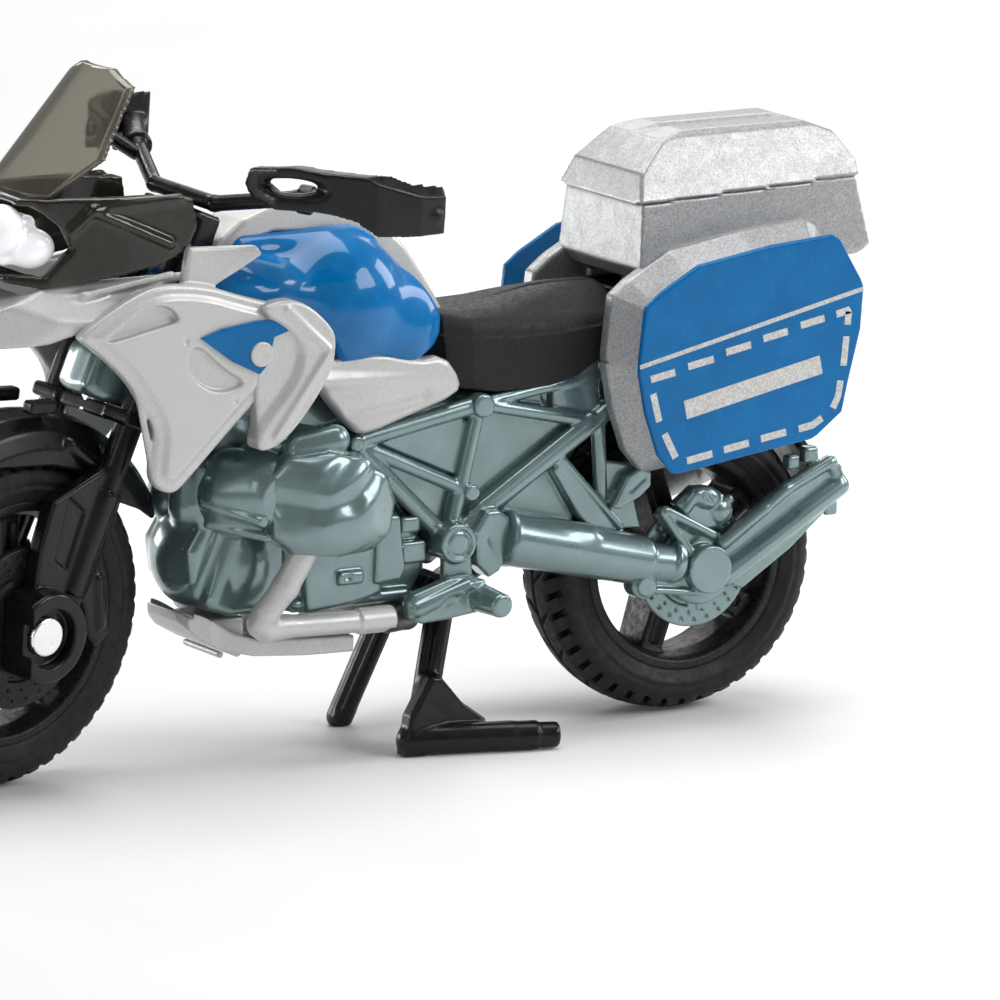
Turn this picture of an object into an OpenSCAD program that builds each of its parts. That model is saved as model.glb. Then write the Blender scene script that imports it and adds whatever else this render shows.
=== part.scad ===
// Small free-rolling toy adventure motorcycle on a centre stand.
// Front is -X, the rider's left is -Y, up is +Z, millimetres.
// Every module is drawn from the point on the ground below the rear axle;
// place() then moves it so that the origin is the middle of the bounding box.

/* [Running gear] */
// Distance between the wheel centres, steered straight
wheelbase = 52; // [51.7:0.1:52.2]
// Outer radius of the front tyre
front_r = 11.6; // [11.4:0.05:11.7]
// Outer radius of the rear tyre
rear_r = 10.55; // [10.4:0.05:10.6]
// Half the width of the front tyre
front_half = 2.25; // [2:0.05:2.3]
// Half the width of the rear tyre
rear_half = 3.1; // [2.8:0.05:3.15]
// Number of tread blocks round each tyre
tread_blocks = 24; // [12:2:30]

/* [Steering] */
// Backward lean of the steering axis, degrees
rake = 23; // [22:0.5:24]
// Left turn of the fork at rest, degrees
steer = 14.8; // [-20:0.1:20]
// Half the distance between the fork tubes
fork_half = 3.75; // [3.7:0.01:3.8]

/* [Body] */
// Height of the windscreen's top edge
screen_top = 48; // [44:0.5:50]
// Half the width over the side cases
case_half = 9.7; // [9.5:0.1:10.5]
// Height of the top case lid
lid_top = 40.5; // [39:0.5:43]

/* [Hidden] */
$fn = 40;
fit = 0.05;
smooth_fn = 20;
origin_x = 25.2;
origin_y = -2.3;
axle_r = 0.6;
fork_r = 0.95;
// Radius of the steering pin, and the head block's ends along the steering axis
pin_r = 1.0;
block_low = 0.6;
block_high = 4.0;
yoke_thick = 1;
yoke_gap = 0.1;
casting = [0.42, 0.51, 0.53];
silver = [0.80, 0.80, 0.79];
flake = [0.62, 0.63, 0.64];
blue = [0.00, 0.42, 0.72];
black = [0.06, 0.06, 0.065];
smoke = [0.14, 0.13, 0.10];
nickel = [0.90, 0.90, 0.88];

// Point on the steering axis inside the head block
head_x = -44.2;
head_z = 25;
// The stand's pivot and the two wheel centres
stand_x = -19.2;
stand_z = 10.4;
front_x = -wheelbase;

module place() {
  translate([origin_x, origin_y, 0]) children();
}

// Puts a child drawn straight ahead into its steered place
module steered() {
  place()
    translate([head_x, 0, head_z])
      rotate([0, rake, 0])
        rotate([0, 0, steer])
          rotate([0, -rake, 0])
            translate([-head_x, 0, -head_z]) children();
}

// Local frame of the steering axis: +Z up the axis, +X to the rear
module on_axis() {
  translate([head_x, 0, head_z]) rotate([0, rake, 0]) children();
}

// Plate on the left side from y = -inner out to y = -outer
module side_plate(points, inner, outer) {
  translate([0, -inner, 0])
    rotate([90, 0, 0])
      linear_extrude(outer - inner) polygon(points);
}

module right() {
  mirror([0, 1, 0]) children();
}

module rod(a, b, r) {
  d = b - a;
  translate(a)
    rotate([0, acos(d.z / norm(d)), atan2(d.y, d.x)])
      cylinder(r = r, h = norm(d));
}

// Round boss or bore along Y, from y = -inner out to y = -outer
module boss(x, z, r, inner, outer) {
  translate([x, -inner, z]) rotate([90, 0, 0]) cylinder(r = r, h = outer - inner);
}

module ball(p, r) {
  translate(p) sphere(r = r, $fn = smooth_fn);
}

// ---------------------------------------------------------------- frame

module frame_spine() {
  color(casting) difference() {
    union() {
      on_axis() translate([0, 0, block_low]) cylinder(r = 2.4, h = block_high - block_low);
      on_axis() translate([-2.3, -1.9, block_low]) cube([2.3, 3.8, block_high - block_low]);
      side_plate([[-43.9, 25.8], [-41.3, 24.6], [-40.4, 22.8], [-36, 21.4], [-31.6, 21.4], [-26.6, 21.4], [-17.6, 22.6],
                  [-8.4, 21.6], [-4, 22.4], [4.5, 26.2], [9, 26.6], [9, 27.9], [3.5, 28],
                  [-6, 25.7], [-10.6, 24.3], [-19.2, 24.4], [-23, 27.5], [-37, 28.4],
                  [-39.3, 27], [-42.5, 28.3]], -2.2, 2.2);
      side_plate([[-21.2, 12.4], [-19.6, 12.2], [-17.2, 14], [-17.2, 22.6], [-20.4, 22.6]], -2.2, 2.2);
    }
    on_axis() translate([0, 0, block_low - 1]) cylinder(r = pin_r + fit, h = 6);
  }
}

// Flat bar between two points of a side plate's outline
module bar(a, b, w) {
  d = (b - a) / norm(b - a) * w / 2;
  n = [-d.y, d.x];
  polygon([a - d + n, a - d - n, b + d - n, b + d + n]);
}

module trellis_left() {
  a = [-26.8, 21.6];
  b = [-17.0, 23.3];
  c = [-17.9, 17.4];
  p = [-19.4, 14.2];
  d = [-8.2, 21.2];
  e = [-6.5, 22.2];
  color(casting) difference() {
    union() {
      side_plate([[-26.8, 21.6], [-17, 23.3], [-7.2, 21.6], [-8.2, 20.4], [-17.2, 14.4], [-19.8, 14]], 2.2, 3.7);
      translate([0, -3.7, 0])
        rotate([90, 0, 0])
          linear_extrude(0.9) {
            bar(a, b, 1.2);
            bar(a, c, 1.0);
            bar(a, p, 1.3);
            bar(b, p, 1.2);
            bar(b, d, 1.0);
            bar([-18.6, 14.6], e, 1.3);
            bar(b, [-7.4, 24.4], 0.9);
            bar([-7.6, 21], [-7.5, 15.9], 1.0);
            polygon([[-10.6, 18.9], [-5.9, 13.7], [-8.3, 13.8], [-11.3, 18.3]]);
          }
      boss(a.x, a.y, 0.5, 4.5, 4.8);
      boss(b.x, b.y, 0.62, 4.5, 4.9);
      boss(c.x, c.y, 0.45, 3.6, 4.8);
      boss(p.x, p.y, 1.3, 3.65, 5.7);
      side_plate([[-17.8, 15.2], [-17, 15.9], [-16.1, 15.9], [-15.3, 15.1], [-15.3, 13.2],
                  [-16.1, 12], [-17, 11.7], [-18, 12.6]], 4.4, 5.6);
      side_plate([[-20.3, 14], [-18.2, 14], [-18, 9.5], [-20.4, 9.5]], 4.5, 5.2);
    }
    boss(stand_x, stand_z, 0.6, 4, 6);
  }
}

module crankcase() {
  color(casting) intersection() {
    side_plate([[-38.3, 20.6], [-38.3, 16.6], [-39.3, 15.6], [-39.1, 13], [-37.4, 10.9],
                [-33, 10.3], [-31.5, 10.3], [-31.5, 21.3], [-37.6, 21.3]], -3.3, 3.3);
    linear_extrude(30) polygon([[-39.4, -1.2], [-38.6, -2.4], [-37, -3.3], [-31.4, -3.3],
                                [-31.4, 3.3], [-37, 3.3], [-38.6, 2.4], [-39.4, 1.2]]);
  }
}

module gearbox() {
  color(casting) {
    side_plate([[-31.5, 21.3], [-27.2, 21.3], [-21.3, 14.3], [-21.3, 12.2], [-22.4, 10.6],
                [-31.5, 10.6]], -3.6, 3.6);
    for (m = [0, 1]) mirror([0, m, 0]) {
      side_plate([[-29.4, 14.6], [-24.6, 14.6], [-24.2, 11.1], [-29.4, 11.1]], 3.5, 4.2);
      boss(-22.6, 13.2, 0.8, 3.5, 4.3);
    }
  }
}

module cylinder_left() {
  color(casting) {
    difference() {
      union() {
        hull() {
          boss(-34.2, 18.9, 2.3, 3.3, 5.9);
          boss(-32.2, 18, 2.5, 3.3, 5.9);
        }
        boss(-30.4, 21.6, 1.3, 3.6, 5.9);
      }
      boss(-32.1, 14.6, 0.95, 3, 6);
      side_plate([[-31.5, 10], [-20, 10], [-20, 24], [-31.5, 24]], 3, 3.6);
    }
  }
}

module head_cover_left() {
  color(casting) difference() {
    hull() {
      ball([-32.3, -7.3, 19.4], 1.7);
      ball([-32.2, -7.3, 17.3], 1.7);
      ball([-27, -7.2, 19.2], 1.7);
      ball([-26.9, -7.2, 17], 1.7);
      ball([-29.6, -7.9, 18.2], 1.7);
      boss(-30, 18.2, 3, 5.9, 6.2);
    }
    translate([-36, -5.9, 12]) cube([12, 3, 14]);
  }
  color(casting)
    hull() {
      ball([-32.2, -6.9, 21.4], 1);
      ball([-29.6, -6.9, 21.9], 1);
      boss(-30.6, 20.4, 1.2, 5.9, 6.2);
    }
}

// ---------------------------------------------------------------- rear drive

module swing_arm() {
  color(casting) difference() {
    rod([-14.8, -4.9, 13.95], [-3.6, -4.9, 10.8], 1.55);
    translate([-20, -3.45, 5]) cube([20, 3, 14]);
    boss(-5, 9.9, 0.75, 3, 7);
    side_plate([[-5.8, 8.8], [-2, 8], [-2, 16], [-4.2, 15], [-5.8, 11.2]], 4.9, 7);
    boss(0, rear_r, 3.2, 3, 7);
    boss(0, rear_r, 4.7, 3, 3.85);
  }
}

module final_drive() {
  color(casting) difference() {
    union() {
      boss(0, rear_r, 2.5, 3.85, 5.1);
      boss(0, rear_r, 1.62, 5, 6.2);
      boss(-5, 9.9, 0.75, 4.5, 6.1);
      side_plate([[-5.6, 9.3], [-0.6, 8.4], [1.5, 9], [1.9, 11.6], [0.5, 13.2], [-3.1, 15.2], [-3.7, 14.6],
                  [-2.2, 11.6], [-5.4, 10.6]], 4.95, 5.4);
    }
    boss(0, rear_r, axle_r, 3, 5.6);
    side_plate([[-1.2, 12.6], [-0.2, 12.6], [-2.2, 13.8]], 4, 6);
  }
}

module rear_caliper() {
  color(casting)
    side_plate([[-1.9, 15], [-0.3, 16.2], [1.2, 15.9], [2.9, 14.8], [1.8, 13.2], [-0.3, 13.2]], 3.85, 4.9);
}

module rear_disc() {
  holes = 16;
  color(casting) difference() {
    boss(0, rear_r, 4.6, 3.35, 3.8);
    boss(0, rear_r, axle_r, 3, 4);
    for (i = [0:holes - 1])
      boss(3.9 * cos(360 * i / holes), rear_r + 3.9 * sin(360 * i / holes), 0.16, 3, 4);
  }
}

module splash_guard() {
  color(casting) {
    side_plate([[1.9, 11.7], [6.1, 15.2], [10, 17.2], [11.1, 15.2], [7.7, 11.8], [3.2, 9]], 5.15, 5.7);
    rod([2.6, -5.75, 11.8], [9.8, -5.75, 16.6], 0.4);
    side_plate([[9.6, 15], [10.9, 15], [10.6, 13.2], [9.9, 13.2]], 4.4, 5.15);
  }
}

module tail_fender() {
  color(black) {
    translate([0, 0, rear_r])
      rotate([90, 0, 0])
        rotate([0, 0, 22])
          rotate_extrude(angle = 60, $fn = 60) polygon([[11.2, -3.2], [12, -3.2], [12, 3.2], [11.2, 3.2]]);
    side_plate([[9.2, 15.4], [10.2, 16.2], [10.4, 14.4], [9.9, 13.6]], 3.2, 4.4);
    side_plate([[1.9, 22.4], [3.6, 22.1], [3.6, 25.6], [1.9, 24.9]], -1.4, 1.4);
    for (i = [0:3])
      rod([10.6 - i * 0.8, -2.6, 17.6 + i * 0.75], [10.6 - i * 0.8, 2.6, 17.6 + i * 0.75], 0.3);
  }
}

module tail_lamp() {
  color([0.7, 0.03, 0.03]) difference() {
    translate([9.0, -2.4, 26.7]) cube([2.1, 4.8, 2.1]);
    translate([9.9, 0, 27.75]) rotate([0, 90, 0]) cylinder(r = 0.6, h = 2);
  }
}

module footpeg_left() {
  color(casting) {
    side_plate([[-23.7, 10.9], [-21.1, 11.6], [-18.6, 12], [-18, 11.3], [-18.2, 9.5], [-21.1, 9.1],
                [-23.6, 9.6]], 5.2, 6.3);
    rod([-18.1, -6.2, 10.35], [-17.9, -9, 10.3], 0.95);
  }
}

module peg_bracket_left() {
  color(casting) difference() {
    side_plate([[-7, 15.6], [-5.9, 17.7], [-4.6, 17.9], [-4.1, 17.5], [-4.2, 16.5], [-5, 15.9],
                [-4.6, 13.6], [-5.8, 13.7], [-6.8, 14.9]], 4.5, 5.2);
    hull() {
      boss(-5.5, 16.7, 0.22, 4, 6);
      boss(-4.7, 17.2, 0.22, 4, 6);
    }
  }
}

// ---------------------------------------------------------------- bodywork

module tank() {
  color(blue) difference() {
    hull() {
      for (s = [-1, 1]) {
        ball([-36.3, 5 * s, 33.2], 1);
        ball([-30.5, 4.6 * s, 35.6], 1.4);
        ball([-26.4, 4.3 * s, 34.4], 1.4);
        ball([-21.8, 3.6 * s, 30.4], 1.1);
        ball([-21.8, 3.6 * s, 28], 0.9);
        ball([-28.6, 4.9 * s, 28.8], 1);
      }
    }
    translate([-40, -7, 20]) cube([30, 14, 8.1]);
    translate([-41, -2.3, 20]) cube([30, 4.6, 13.5]);
    translate([-50, -5, 20]) cube([14.6, 10, 20]);
    translate([-40, -2.1, 30]) cube([20, 4.2, 10]);
  }
}

module tank_cover() {
  color(silver)
    side_plate([[-34.9, 34.4], [-33.8, 36.4], [-31.5, 37.5], [-27.3, 37.5], [-24.2, 36.3], [-21.9, 34.2],
                [-19.9, 31.2], [-19.6, 29.2], [-22.6, 29.2], [-24.4, 31.4], [-27.5, 33.6], [-31.5, 34.2]], -2, 2);
}

module side_trim_left() {
  color(silver)
    side_plate([[-30, 27.9], [-29.7, 25.6], [-27.1, 22.5], [-23.6, 23], [-19.6, 24.4], [-20.6, 27.9]], 4.0, 5.2);
}

module beak() {
  color(silver) difference() {
    union() {
      hull() {
        ball([-60.8, 0, 29.6], 0.6);
        for (s = [-1, 1]) {
          ball([-59.6, 1.8 * s, 29.8], 0.6);
          ball([-52, 4.6 * s, 31.4], 0.6);
          ball([-49, 6 * s, 31], 0.6);
          ball([-49, 3.4 * s, 33.6], 0.6);
        }
      }
    }
    translate([-55.6, -3.2, 27]) cube([8.8, 6.4, 3.9]);
    translate([-50.4, -5.4, 27]) cube([8, 10.8, 8]);
    translate([-48.9, -8, 27]) cube([3, 16, 9]);
  }
}

module fairing_left() {
  color(silver) {
    side_plate([[-48.8, 31.5], [-47.2, 29.8], [-45.3, 28], [-43.1, 24.5], [-43.5, 21.2], [-42.8, 20.3],
                [-41.8, 20.1], [-40.9, 20.9], [-38.2, 23.4], [-35.6, 25.8], [-35.6, 32], [-39.2, 33.6],
                [-40.3, 36.5], [-42.8, 34.6], [-48.8, 32.6]], 6, 6.9);
    side_plate([[-40.1, 33.2], [-36.8, 32.2], [-34.8, 35.4], [-36.9, 36.3], [-40.2, 36.5]], 6, 6.4);
    rod([-39, -6.1, 25.4], [-39, -2.2, 25.4], 0.6);
  }
}

module wing_left() {
  color(silver)
    side_plate([[-35.6, 32], [-32.7, 32.1], [-30.2, 29.4], [-30.5, 27.1], [-33.8, 23], [-35.6, 22.5]], 6.05, 7.4);
}

module badge_left() {
  color(blue) {
    side_plate([[-40, 30.5], [-36.4, 31.1], [-36.4, 27.9]], 6.9, 7.1);
    side_plate([[-35.4, 31], [-33, 31.1], [-32.2, 29.3], [-35.4, 27.6]], 7.4, 7.5);
  }
}

module headlight() {
  color([0.93, 0.94, 0.95])
    hull() {
      ball([-53.4, -2.2, 36.4], 0.6);
      ball([-53.4, 1.2, 36.4], 0.6);
      ball([-52.6, -2.6, 38.5], 0.6);
      ball([-52.6, 0.6, 38.6], 0.6);
      ball([-51.6, 0, 36.8], 0.9);
    }
}

module lamp_surround() {
  color(smoke) difference() {
    intersection() {
      side_plate([[-53.6, 35], [-50.5, 34], [-44.5, 34.4], [-40, 35.8], [-39.6, 39.4], [-42.4, 39.8],
                  [-51.8, 40.1], [-53.2, 38.6]], -8, 8);
      translate([0, 0, 30])
        linear_extrude(14) polygon([[-53.6, -1.8], [-52.4, -3.6], [-50, -4.9], [-40, -5.7], [-39, -5.7],
                                    [-39, 5.7], [-40, 5.7], [-50, 4.9], [-52.4, 3.6], [-53.6, 1.8]]);
    }
    translate([-50.3, -4.3, 30]) cube([14, 8.6, 12]);
    translate([-56, -3.3, 35.1]) cube([6.1, 5.4, 4.2]);
  }
}

module windscreen() {
  color([0.2, 0.18, 0.14]) intersection() {
    translate([-52, 0, 39.4])
      rotate([0, 42, 0])
        translate([9, 0, 0])
          difference() {
            cylinder(r = 9, h = 14);
            translate([0, 0, -1]) cylinder(r = 8.4, h = 16);
          }
    translate([-56, 0, 0])
      rotate([90, 0, 90])
        linear_extrude(12 + screen_top - 40) polygon([[-4.2, 40.1], [4.2, 40.1], [5.4, 42.5], [4.2, screen_top - 1],
                                  [2, screen_top], [-2, screen_top], [-4.2, screen_top - 1], [-5.4, 42.5]]);
  }
}

module seat() {
  color(black) difference() {
    hull() {
      for (s = [-1, 1]) {
        ball([-18.2, 2.9 * s, 28.4], 1.1);
        ball([-18.3, 3 * s, 25.6], 1);
        ball([-11, 3.2 * s, 29.2], 1.4);
        ball([-12, 3.2 * s, 25.2], 1);
        ball([-6.9, 3.2 * s, 29], 1.2);
        ball([-6.9, 3.2 * s, 27.2], 1);
      }
    }
    translate([-24, -2.25, 20]) cube([20, 4.5, 5.8]);
    side_plate([[-24, 20], [-24, 24.6], [-17, 24.3], [-11, 24.6], [-6.9, 26.3], [-4, 27.6], [-4, 20]], -6, 6);
  }
}

// ---------------------------------------------------------------- luggage

module luggage_rack() {
  color(black) {
    side_plate([[-4.6, 28.6], [9, 28.6], [9, 29.7], [-4.6, 29.7]], -4.2, 4.2);
    side_plate([[3.4, 28], [8, 28], [8, 28.6], [3.4, 28.6]], -2.2, 2.2);
  }
}

module top_case() {
  color(flake) difference() {
    hull() {
      side_plate([[-5.3, 31.6], [-4.4, 30.7], [12, 31.4], [12.9, 32], [12.9, 37.2], [-5.2, 35.9]], -5.5, 5.5);
      side_plate([[-3, lid_top - 0.6], [-2, lid_top], [10, lid_top], [11.2, lid_top - 0.6]], -4, 4);
    }
    translate([-4.2, -4.4, 32.4]) cube([16, 8.8, 4]);
    translate([-6, -4.25, 29]) cube([15.1, 8.5, 1.5]);
  }
}

module side_case_left() {
  outline = [[-7.8, 30], [-3.3, 32.7], [7.8, 33.9], [10.3, 30], [9.7, 25.7], [8.7, 20.5], [6.3, 19.3],
             [-5.1, 17.9], [-6.9, 19.6], [-8.1, 25.7]];
  color(flake) difference() {
    union() {
      side_plate(outline, 6.2, case_half - 0.1);
      intersection() {
        side_plate(outline, 4.7, 6.2);
        side_plate([[-8.1, 26], [-6.5, 19.6], [-4, 18], [8, 19.6], [9.3, 26], [6.5, 32.8], [-3, 30.6]], 4, 7);
      }
    }
    translate([-6.6, -8.8, 20.6]) cube([15, 3.4, 9.4]);
    translate([-20, -20, 25.2]) cube([12.2, 20, 0.15]);
    side_plate([[-5.7, 29.4], [13.2, 29.4], [13.2, 40], [-5.7, 40]], 4, 5.55);
  }
}

module case_panel_left() {
  color(blue)
    side_plate([[-7.4, 29.9], [-3.1, 32.4], [7.6, 33.6], [9.9, 29.9], [9.4, 25.8], [8.4, 20.7], [6.1, 19.6],
                [-5, 18.2], [-6.5, 19.7], [-7.7, 25.7]], case_half - 0.1, case_half + 0.05);
}

// ---------------------------------------------------------------- exhaust

module skid_plate() {
  color(silver) {
    side_plate([[-39, 11], [-37.7, 9.1], [-35, 7.6], [-25, 6.6], [-25, 8.1], [-34.4, 8.5], [-36.6, 9.9],
                [-38, 11.3]], -3.5, 3.5);
    for (x = [-33, -28])
      side_plate([[x, 7.5], [x + 1.2, 7.5], [x + 1.2, 10.25], [x, 10.25]], -1.4, 1.4);
  }
}

module header_pipes() {
  color(silver) for (s = [-1, 1]) {
    rod([-32.1, 5.0 * s, 14.9], [-34.3, 5.0 * s, 10.1], 0.85);
    ball([-34.3, 5.0 * s, 9.9], 0.85);
    rod([-34.3, 5.0 * s, 9.8], [-24.2, 4.9 * s, 9.1], 0.75);
  }
  color(smoke) {
    rod([-24.2, -4.9, 9.1], [-22.2, -1.2, 9.3], 0.8);
    rod([-22.2, -1.2, 9.3], [-23.2, 4.9, 9.1], 0.8);
    rod([-24.2, 4.9, 9.1], [-22.4, 6.6, 7.9], 0.85);
  }
}

module silencer() {
  color(smoke) {
    rod([-21.8, 6.7, 7.8], [-15, 7.1, 7.8], 1.05);
    ball([-15, 7.1, 7.8], 1.15);
    rod([-15, 7.1, 7.8], [-9.4, 6.9, 11], 1.05);
  }
  color(flake) {
    rod([-9.4, 6.9, 11], [7.6, 7.3, 16], 2.1);
    difference() {
      rod([7.6, 7.3, 16], [9.6, 7.35, 16.6], 1.6);
      rod([8, 7.3, 16.1], [10.4, 7.36, 16.8], 1.1);
    }
    rod([-2, 7, 13.4], [-2, 4, 17.4], 0.4);
  }
}

// ---------------------------------------------------------------- pins

module rear_axle() {
  color(nickel) {
    boss(0, rear_r, axle_r, -3.3, 5.6);
    boss(0, rear_r, 1.3, -3.8, -3.3);
  }
}

module stand_pin() {
  color(nickel) boss(stand_x, stand_z, 0.6, -5.2, 5.2);
}

module steering_pin() {
  color(nickel) on_axis()
    translate([0, 0, block_low - yoke_gap - yoke_thick]) cylinder(r = pin_r, h = 5.6);
}

module front_axle() {
  color(nickel) {
    boss(front_x, front_r, axle_r, -5, 5);
    boss(front_x, front_r, 1.37, 5, 5.4);
    boss(front_x, front_r, 1.37, -5.4, -5);
  }
}

// ---------------------------------------------------------------- fork

module fork_left() {
  color(black) difference() {
    union() {
      on_axis() translate([0, -fork_half, -12]) cylinder(r = fork_r, h = 17.6);
      side_plate([[-50, 20.2], [-51.4, 17.2], [-52.1, 13.4], [-50, 11], [-47.2, 14.4], [-45.9, 17.4],
                  [-45.6, 20.2], [-46, 22], [-48.4, 22]], 2.95, 4.3);
      boss(front_x, front_r, 3.05, 2.95, 5.9);
      side_plate([[-49.6, 15.4], [-46.8, 15.6], [-45.6, 13], [-45.8, 9.8], [-47, 10.2], [-48.4, 12]], 2.95, 3.9);
    }
    boss(front_x, front_r, 2.02, 5, 6);
    boss(front_x, front_r, axle_r, 2, 6);
  }
}

module fork_yokes() {
  color(black) on_axis() {
    for (z = [block_low - yoke_gap - yoke_thick, block_high + yoke_gap])
      difference() {
        translate([-1.4, -4.9, z]) cube([2.8, 9.8, yoke_thick]);
        for (s = [-1, 1]) translate([0, fork_half * s, z - 1]) cylinder(r = fork_r + fit, h = 3);
        translate([0, 0, z - 1]) cylinder(r = pin_r, h = 3);
      }
    for (s = [-1, 1]) rod([0, 1.7 * s, block_high + 0.6], [1.6, 1.7 * s, 12], 0.7);
    translate([0, -2.3, 11.6]) cube([3.2, 4.6, 3]);
  }
}

module handlebar() {
  stations = [[-37, 0, 38.7], [-37, 3, 38.7], [-34, 8, 39.8], [-29, 14.4, 39.4]];
  color(black)
    for (s = [-1, 1])
      for (i = [0:2])
        hull()
          for (p = [stations[i], stations[i + 1]])
            ball([p.x, p.y * s, p.z], i == 2 ? 0.72 : 0.58);
}

module handguards() {
  color(black) for (s = [-1, 1])
    difference() {
      hull() {
        ball([-37.8, 7.4 * s, 41.9], 0.6);
        ball([-37.6, 8.2 * s, 40.4], 0.6);
        ball([-31.8, 13.4 * s, 42.2], 0.8);
        ball([-31.4, 13.2 * s, 40.2], 0.8);
        ball([-28.4, 14.6 * s, 40.8], 0.7);
        ball([-28.2, 14.6 * s, 38.8], 0.7);
      }
      rod([-34, 8 * s, 39.8], [-29, 14.4 * s, 39.4], 0.75);
      rod([-37, 3 * s, 38.7], [-34, 8 * s, 39.8], 0.75);
      ball([-34, 8 * s, 39.8], 0.8);
      ball([-29, 14.4 * s, 39.4], 0.8);
    }
}

module front_fender() {
  color(black) {
    intersection() {
      translate([front_x, 0, front_r])
        rotate([90, 0, 0])
          rotate_extrude($fn = 60)
            polygon([[11, -2.7], [13, -2.4], [14, -1.3], [14.3, 0], [14, 1.3], [13, 2.4], [11, 2.7],
                     [11, 2.45], [12.6, 2.1], [13.4, 1.1], [13.6, 0], [13.4, -1.1], [12.6, -2.1], [11, -2.45]]);
      side_plate([[-61, 20.6], [-54, 23.2], [-46, 20.6], [-40.5, 17.2], [-38.4, 17.2], [-38, 28], [-61, 28]], -4, 4);
    }
  }
}

// ---------------------------------------------------------------- wheels

module tyre(r, half, rim_r) {
  groove = 0.35;
  difference() {
    rotate([90, 0, 0])
      rotate_extrude($fn = 72)
        polygon([[rim_r, -half * 0.9], [rim_r + 1, -half], [r - 1.4, -half * 0.95], [r - 0.6, -half * 0.72],
                 [r - 0.1, -half * 0.35], [r, -0.25], [r - groove, 0], [r, 0.25], [r - 0.1, half * 0.35],
                 [r - 0.6, half * 0.72], [r - 1.4, half * 0.95], [rim_r + 1, half], [rim_r, half * 0.9]]);
    for (i = [0:tread_blocks - 1])
      rotate([0, 360 * i / tread_blocks, 0])
        for (s = [-1, 1])
          rotate([0, 180 / tread_blocks * (s > 0 ? 1 : 0), 0])
            translate([r - 0.8, half * 0.75 * s, 0])
              rotate([0, 0, -38 * s]) cube([0.7, half, 0.45], center = true);
  }
}

module rim(rim_r, half, spokes, hub_half, hub_r) {
  difference() {
    union() {
      rotate([90, 0, 0])
        rotate_extrude($fn = 72)
          polygon([[rim_r, -half * 0.9], [rim_r, half * 0.9], [rim_r - 1.1, half * 0.9],
                   [rim_r - 0.9, 0], [rim_r - 1.1, -half * 0.9]]);
      for (i = [0:spokes - 1])
        rotate([0, 360 * i / spokes, 0])
          rotate([90, 0, 0])
            linear_extrude(half * 0.9, center = true)
              polygon([[hub_r - 0.3, -0.7], [rim_r - 0.95, -0.45], [rim_r - 0.95, 0.45], [hub_r - 0.3, 0.7]]);
      rotate([90, 0, 0]) cylinder(r = hub_r, h = 2 * hub_half, center = true);
    }
    rotate([90, 0, 0]) cylinder(r = axle_r + fit, h = 20, center = true);
  }
}

module front_rim() {
  color(black) translate([front_x, 0, front_r]) {
    rim(8.45, front_half, 10, 2.85, 1.6);
    for (s = [-1, 1])
      translate([0, 2.25 * s, 0])
        rotate([90, 0, 0])
          difference() {
            cylinder(r = 5.6, h = 0.5, center = true);
            cylinder(r = 1.6, h = 1, center = true);
            for (i = [0:19])
              rotate([0, 0, 18 * i]) translate([4.9, 0, -1]) cylinder(r = 0.16, h = 2);
          }
  }
}

module rear_rim() {
  color(black) translate([0, 0, rear_r]) rim(7.6, rear_half, 10, 3.2, 1.9);
}

// ---------------------------------------------------------------- stand

module centre_stand() {
  foot_l = [-22.9, -5.35, 1.05];
  color(black) difference() {
    union() {
      boss(stand_x, stand_z, 1.15, -3, 3);
      for (s = [-1, 1]) {
        rod([stand_x, 2.95 * s, stand_z], [-22.5, 5.3 * s, 1.1], 1.05);
        rod([stand_x, 2.4 * s, stand_z], [stand_x, 4.2 * s, stand_z], 1.15);
        intersection() {
          rod([-22.1, 5.1 * s, 2.2], [-23.2, 5.5 * s, -0.8], 1.05);
          translate([-26, -9, 0]) cube([8, 18, 4]);
        }
      }
      rod(foot_l, [-16, -7.45, 1.05], 1.05);
      rod([-16, -7.45, 1], [-13.7, -8.15, 1], 0.85);
      side_plate([[-22.6, 1], [-18.6, 1.5], [-21.6, 4.6]], 4.9, 5.7);
    }
    boss(stand_x, stand_z, 0.6 + fit, -6, 6);
  }
}

// ---------------------------------------------------------------- nodes

place() frame_spine();
place() trellis_left();
place() right() trellis_left();  // trellis_right
place() crankcase();
place() gearbox();
place() cylinder_left();
place() right() cylinder_left();  // cylinder_right
place() head_cover_left();
place() right() head_cover_left();  // head_cover_right
place() swing_arm();
place() final_drive();
place() rear_caliper();
place() rear_disc();
place() splash_guard();
place() tail_fender();
place() tail_lamp();
place() footpeg_left();
place() right() footpeg_left();  // footpeg_right
place() peg_bracket_left();
place() right() peg_bracket_left();  // peg_bracket_right
place() tank();
place() tank_cover();
place() side_trim_left();
place() right() side_trim_left();  // side_trim_right
place() beak();
place() fairing_left();
place() right() fairing_left();  // fairing_right
place() wing_left();
place() right() wing_left();  // wing_right
place() badge_left();
place() right() badge_left();  // badge_right
place() headlight();
place() lamp_surround();
place() windscreen();
place() seat();
place() luggage_rack();
place() top_case();
place() side_case_left();
place() right() side_case_left();  // side_case_right
place() case_panel_left();
place() right() case_panel_left();  // case_panel_right
place() skid_plate();
place() header_pipes();
place() silencer();
place() rear_axle();
place() stand_pin();
steered() fork_left();
steered() right() fork_left();  // fork_right
steered() fork_yokes();
steered() steering_pin();
steered() handlebar();
steered() handguards();
steered() front_fender();
steered() front_axle();
steered() front_rim();
steered() translate([front_x, 0, front_r]) color(black) tyre(front_r, front_half, 8.45);  // front_tyre
place() rear_rim();
place() translate([0, 0, rear_r]) color(black) tyre(rear_r, rear_half, 7.6);  // rear_tyre
place() centre_stand();
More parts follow.
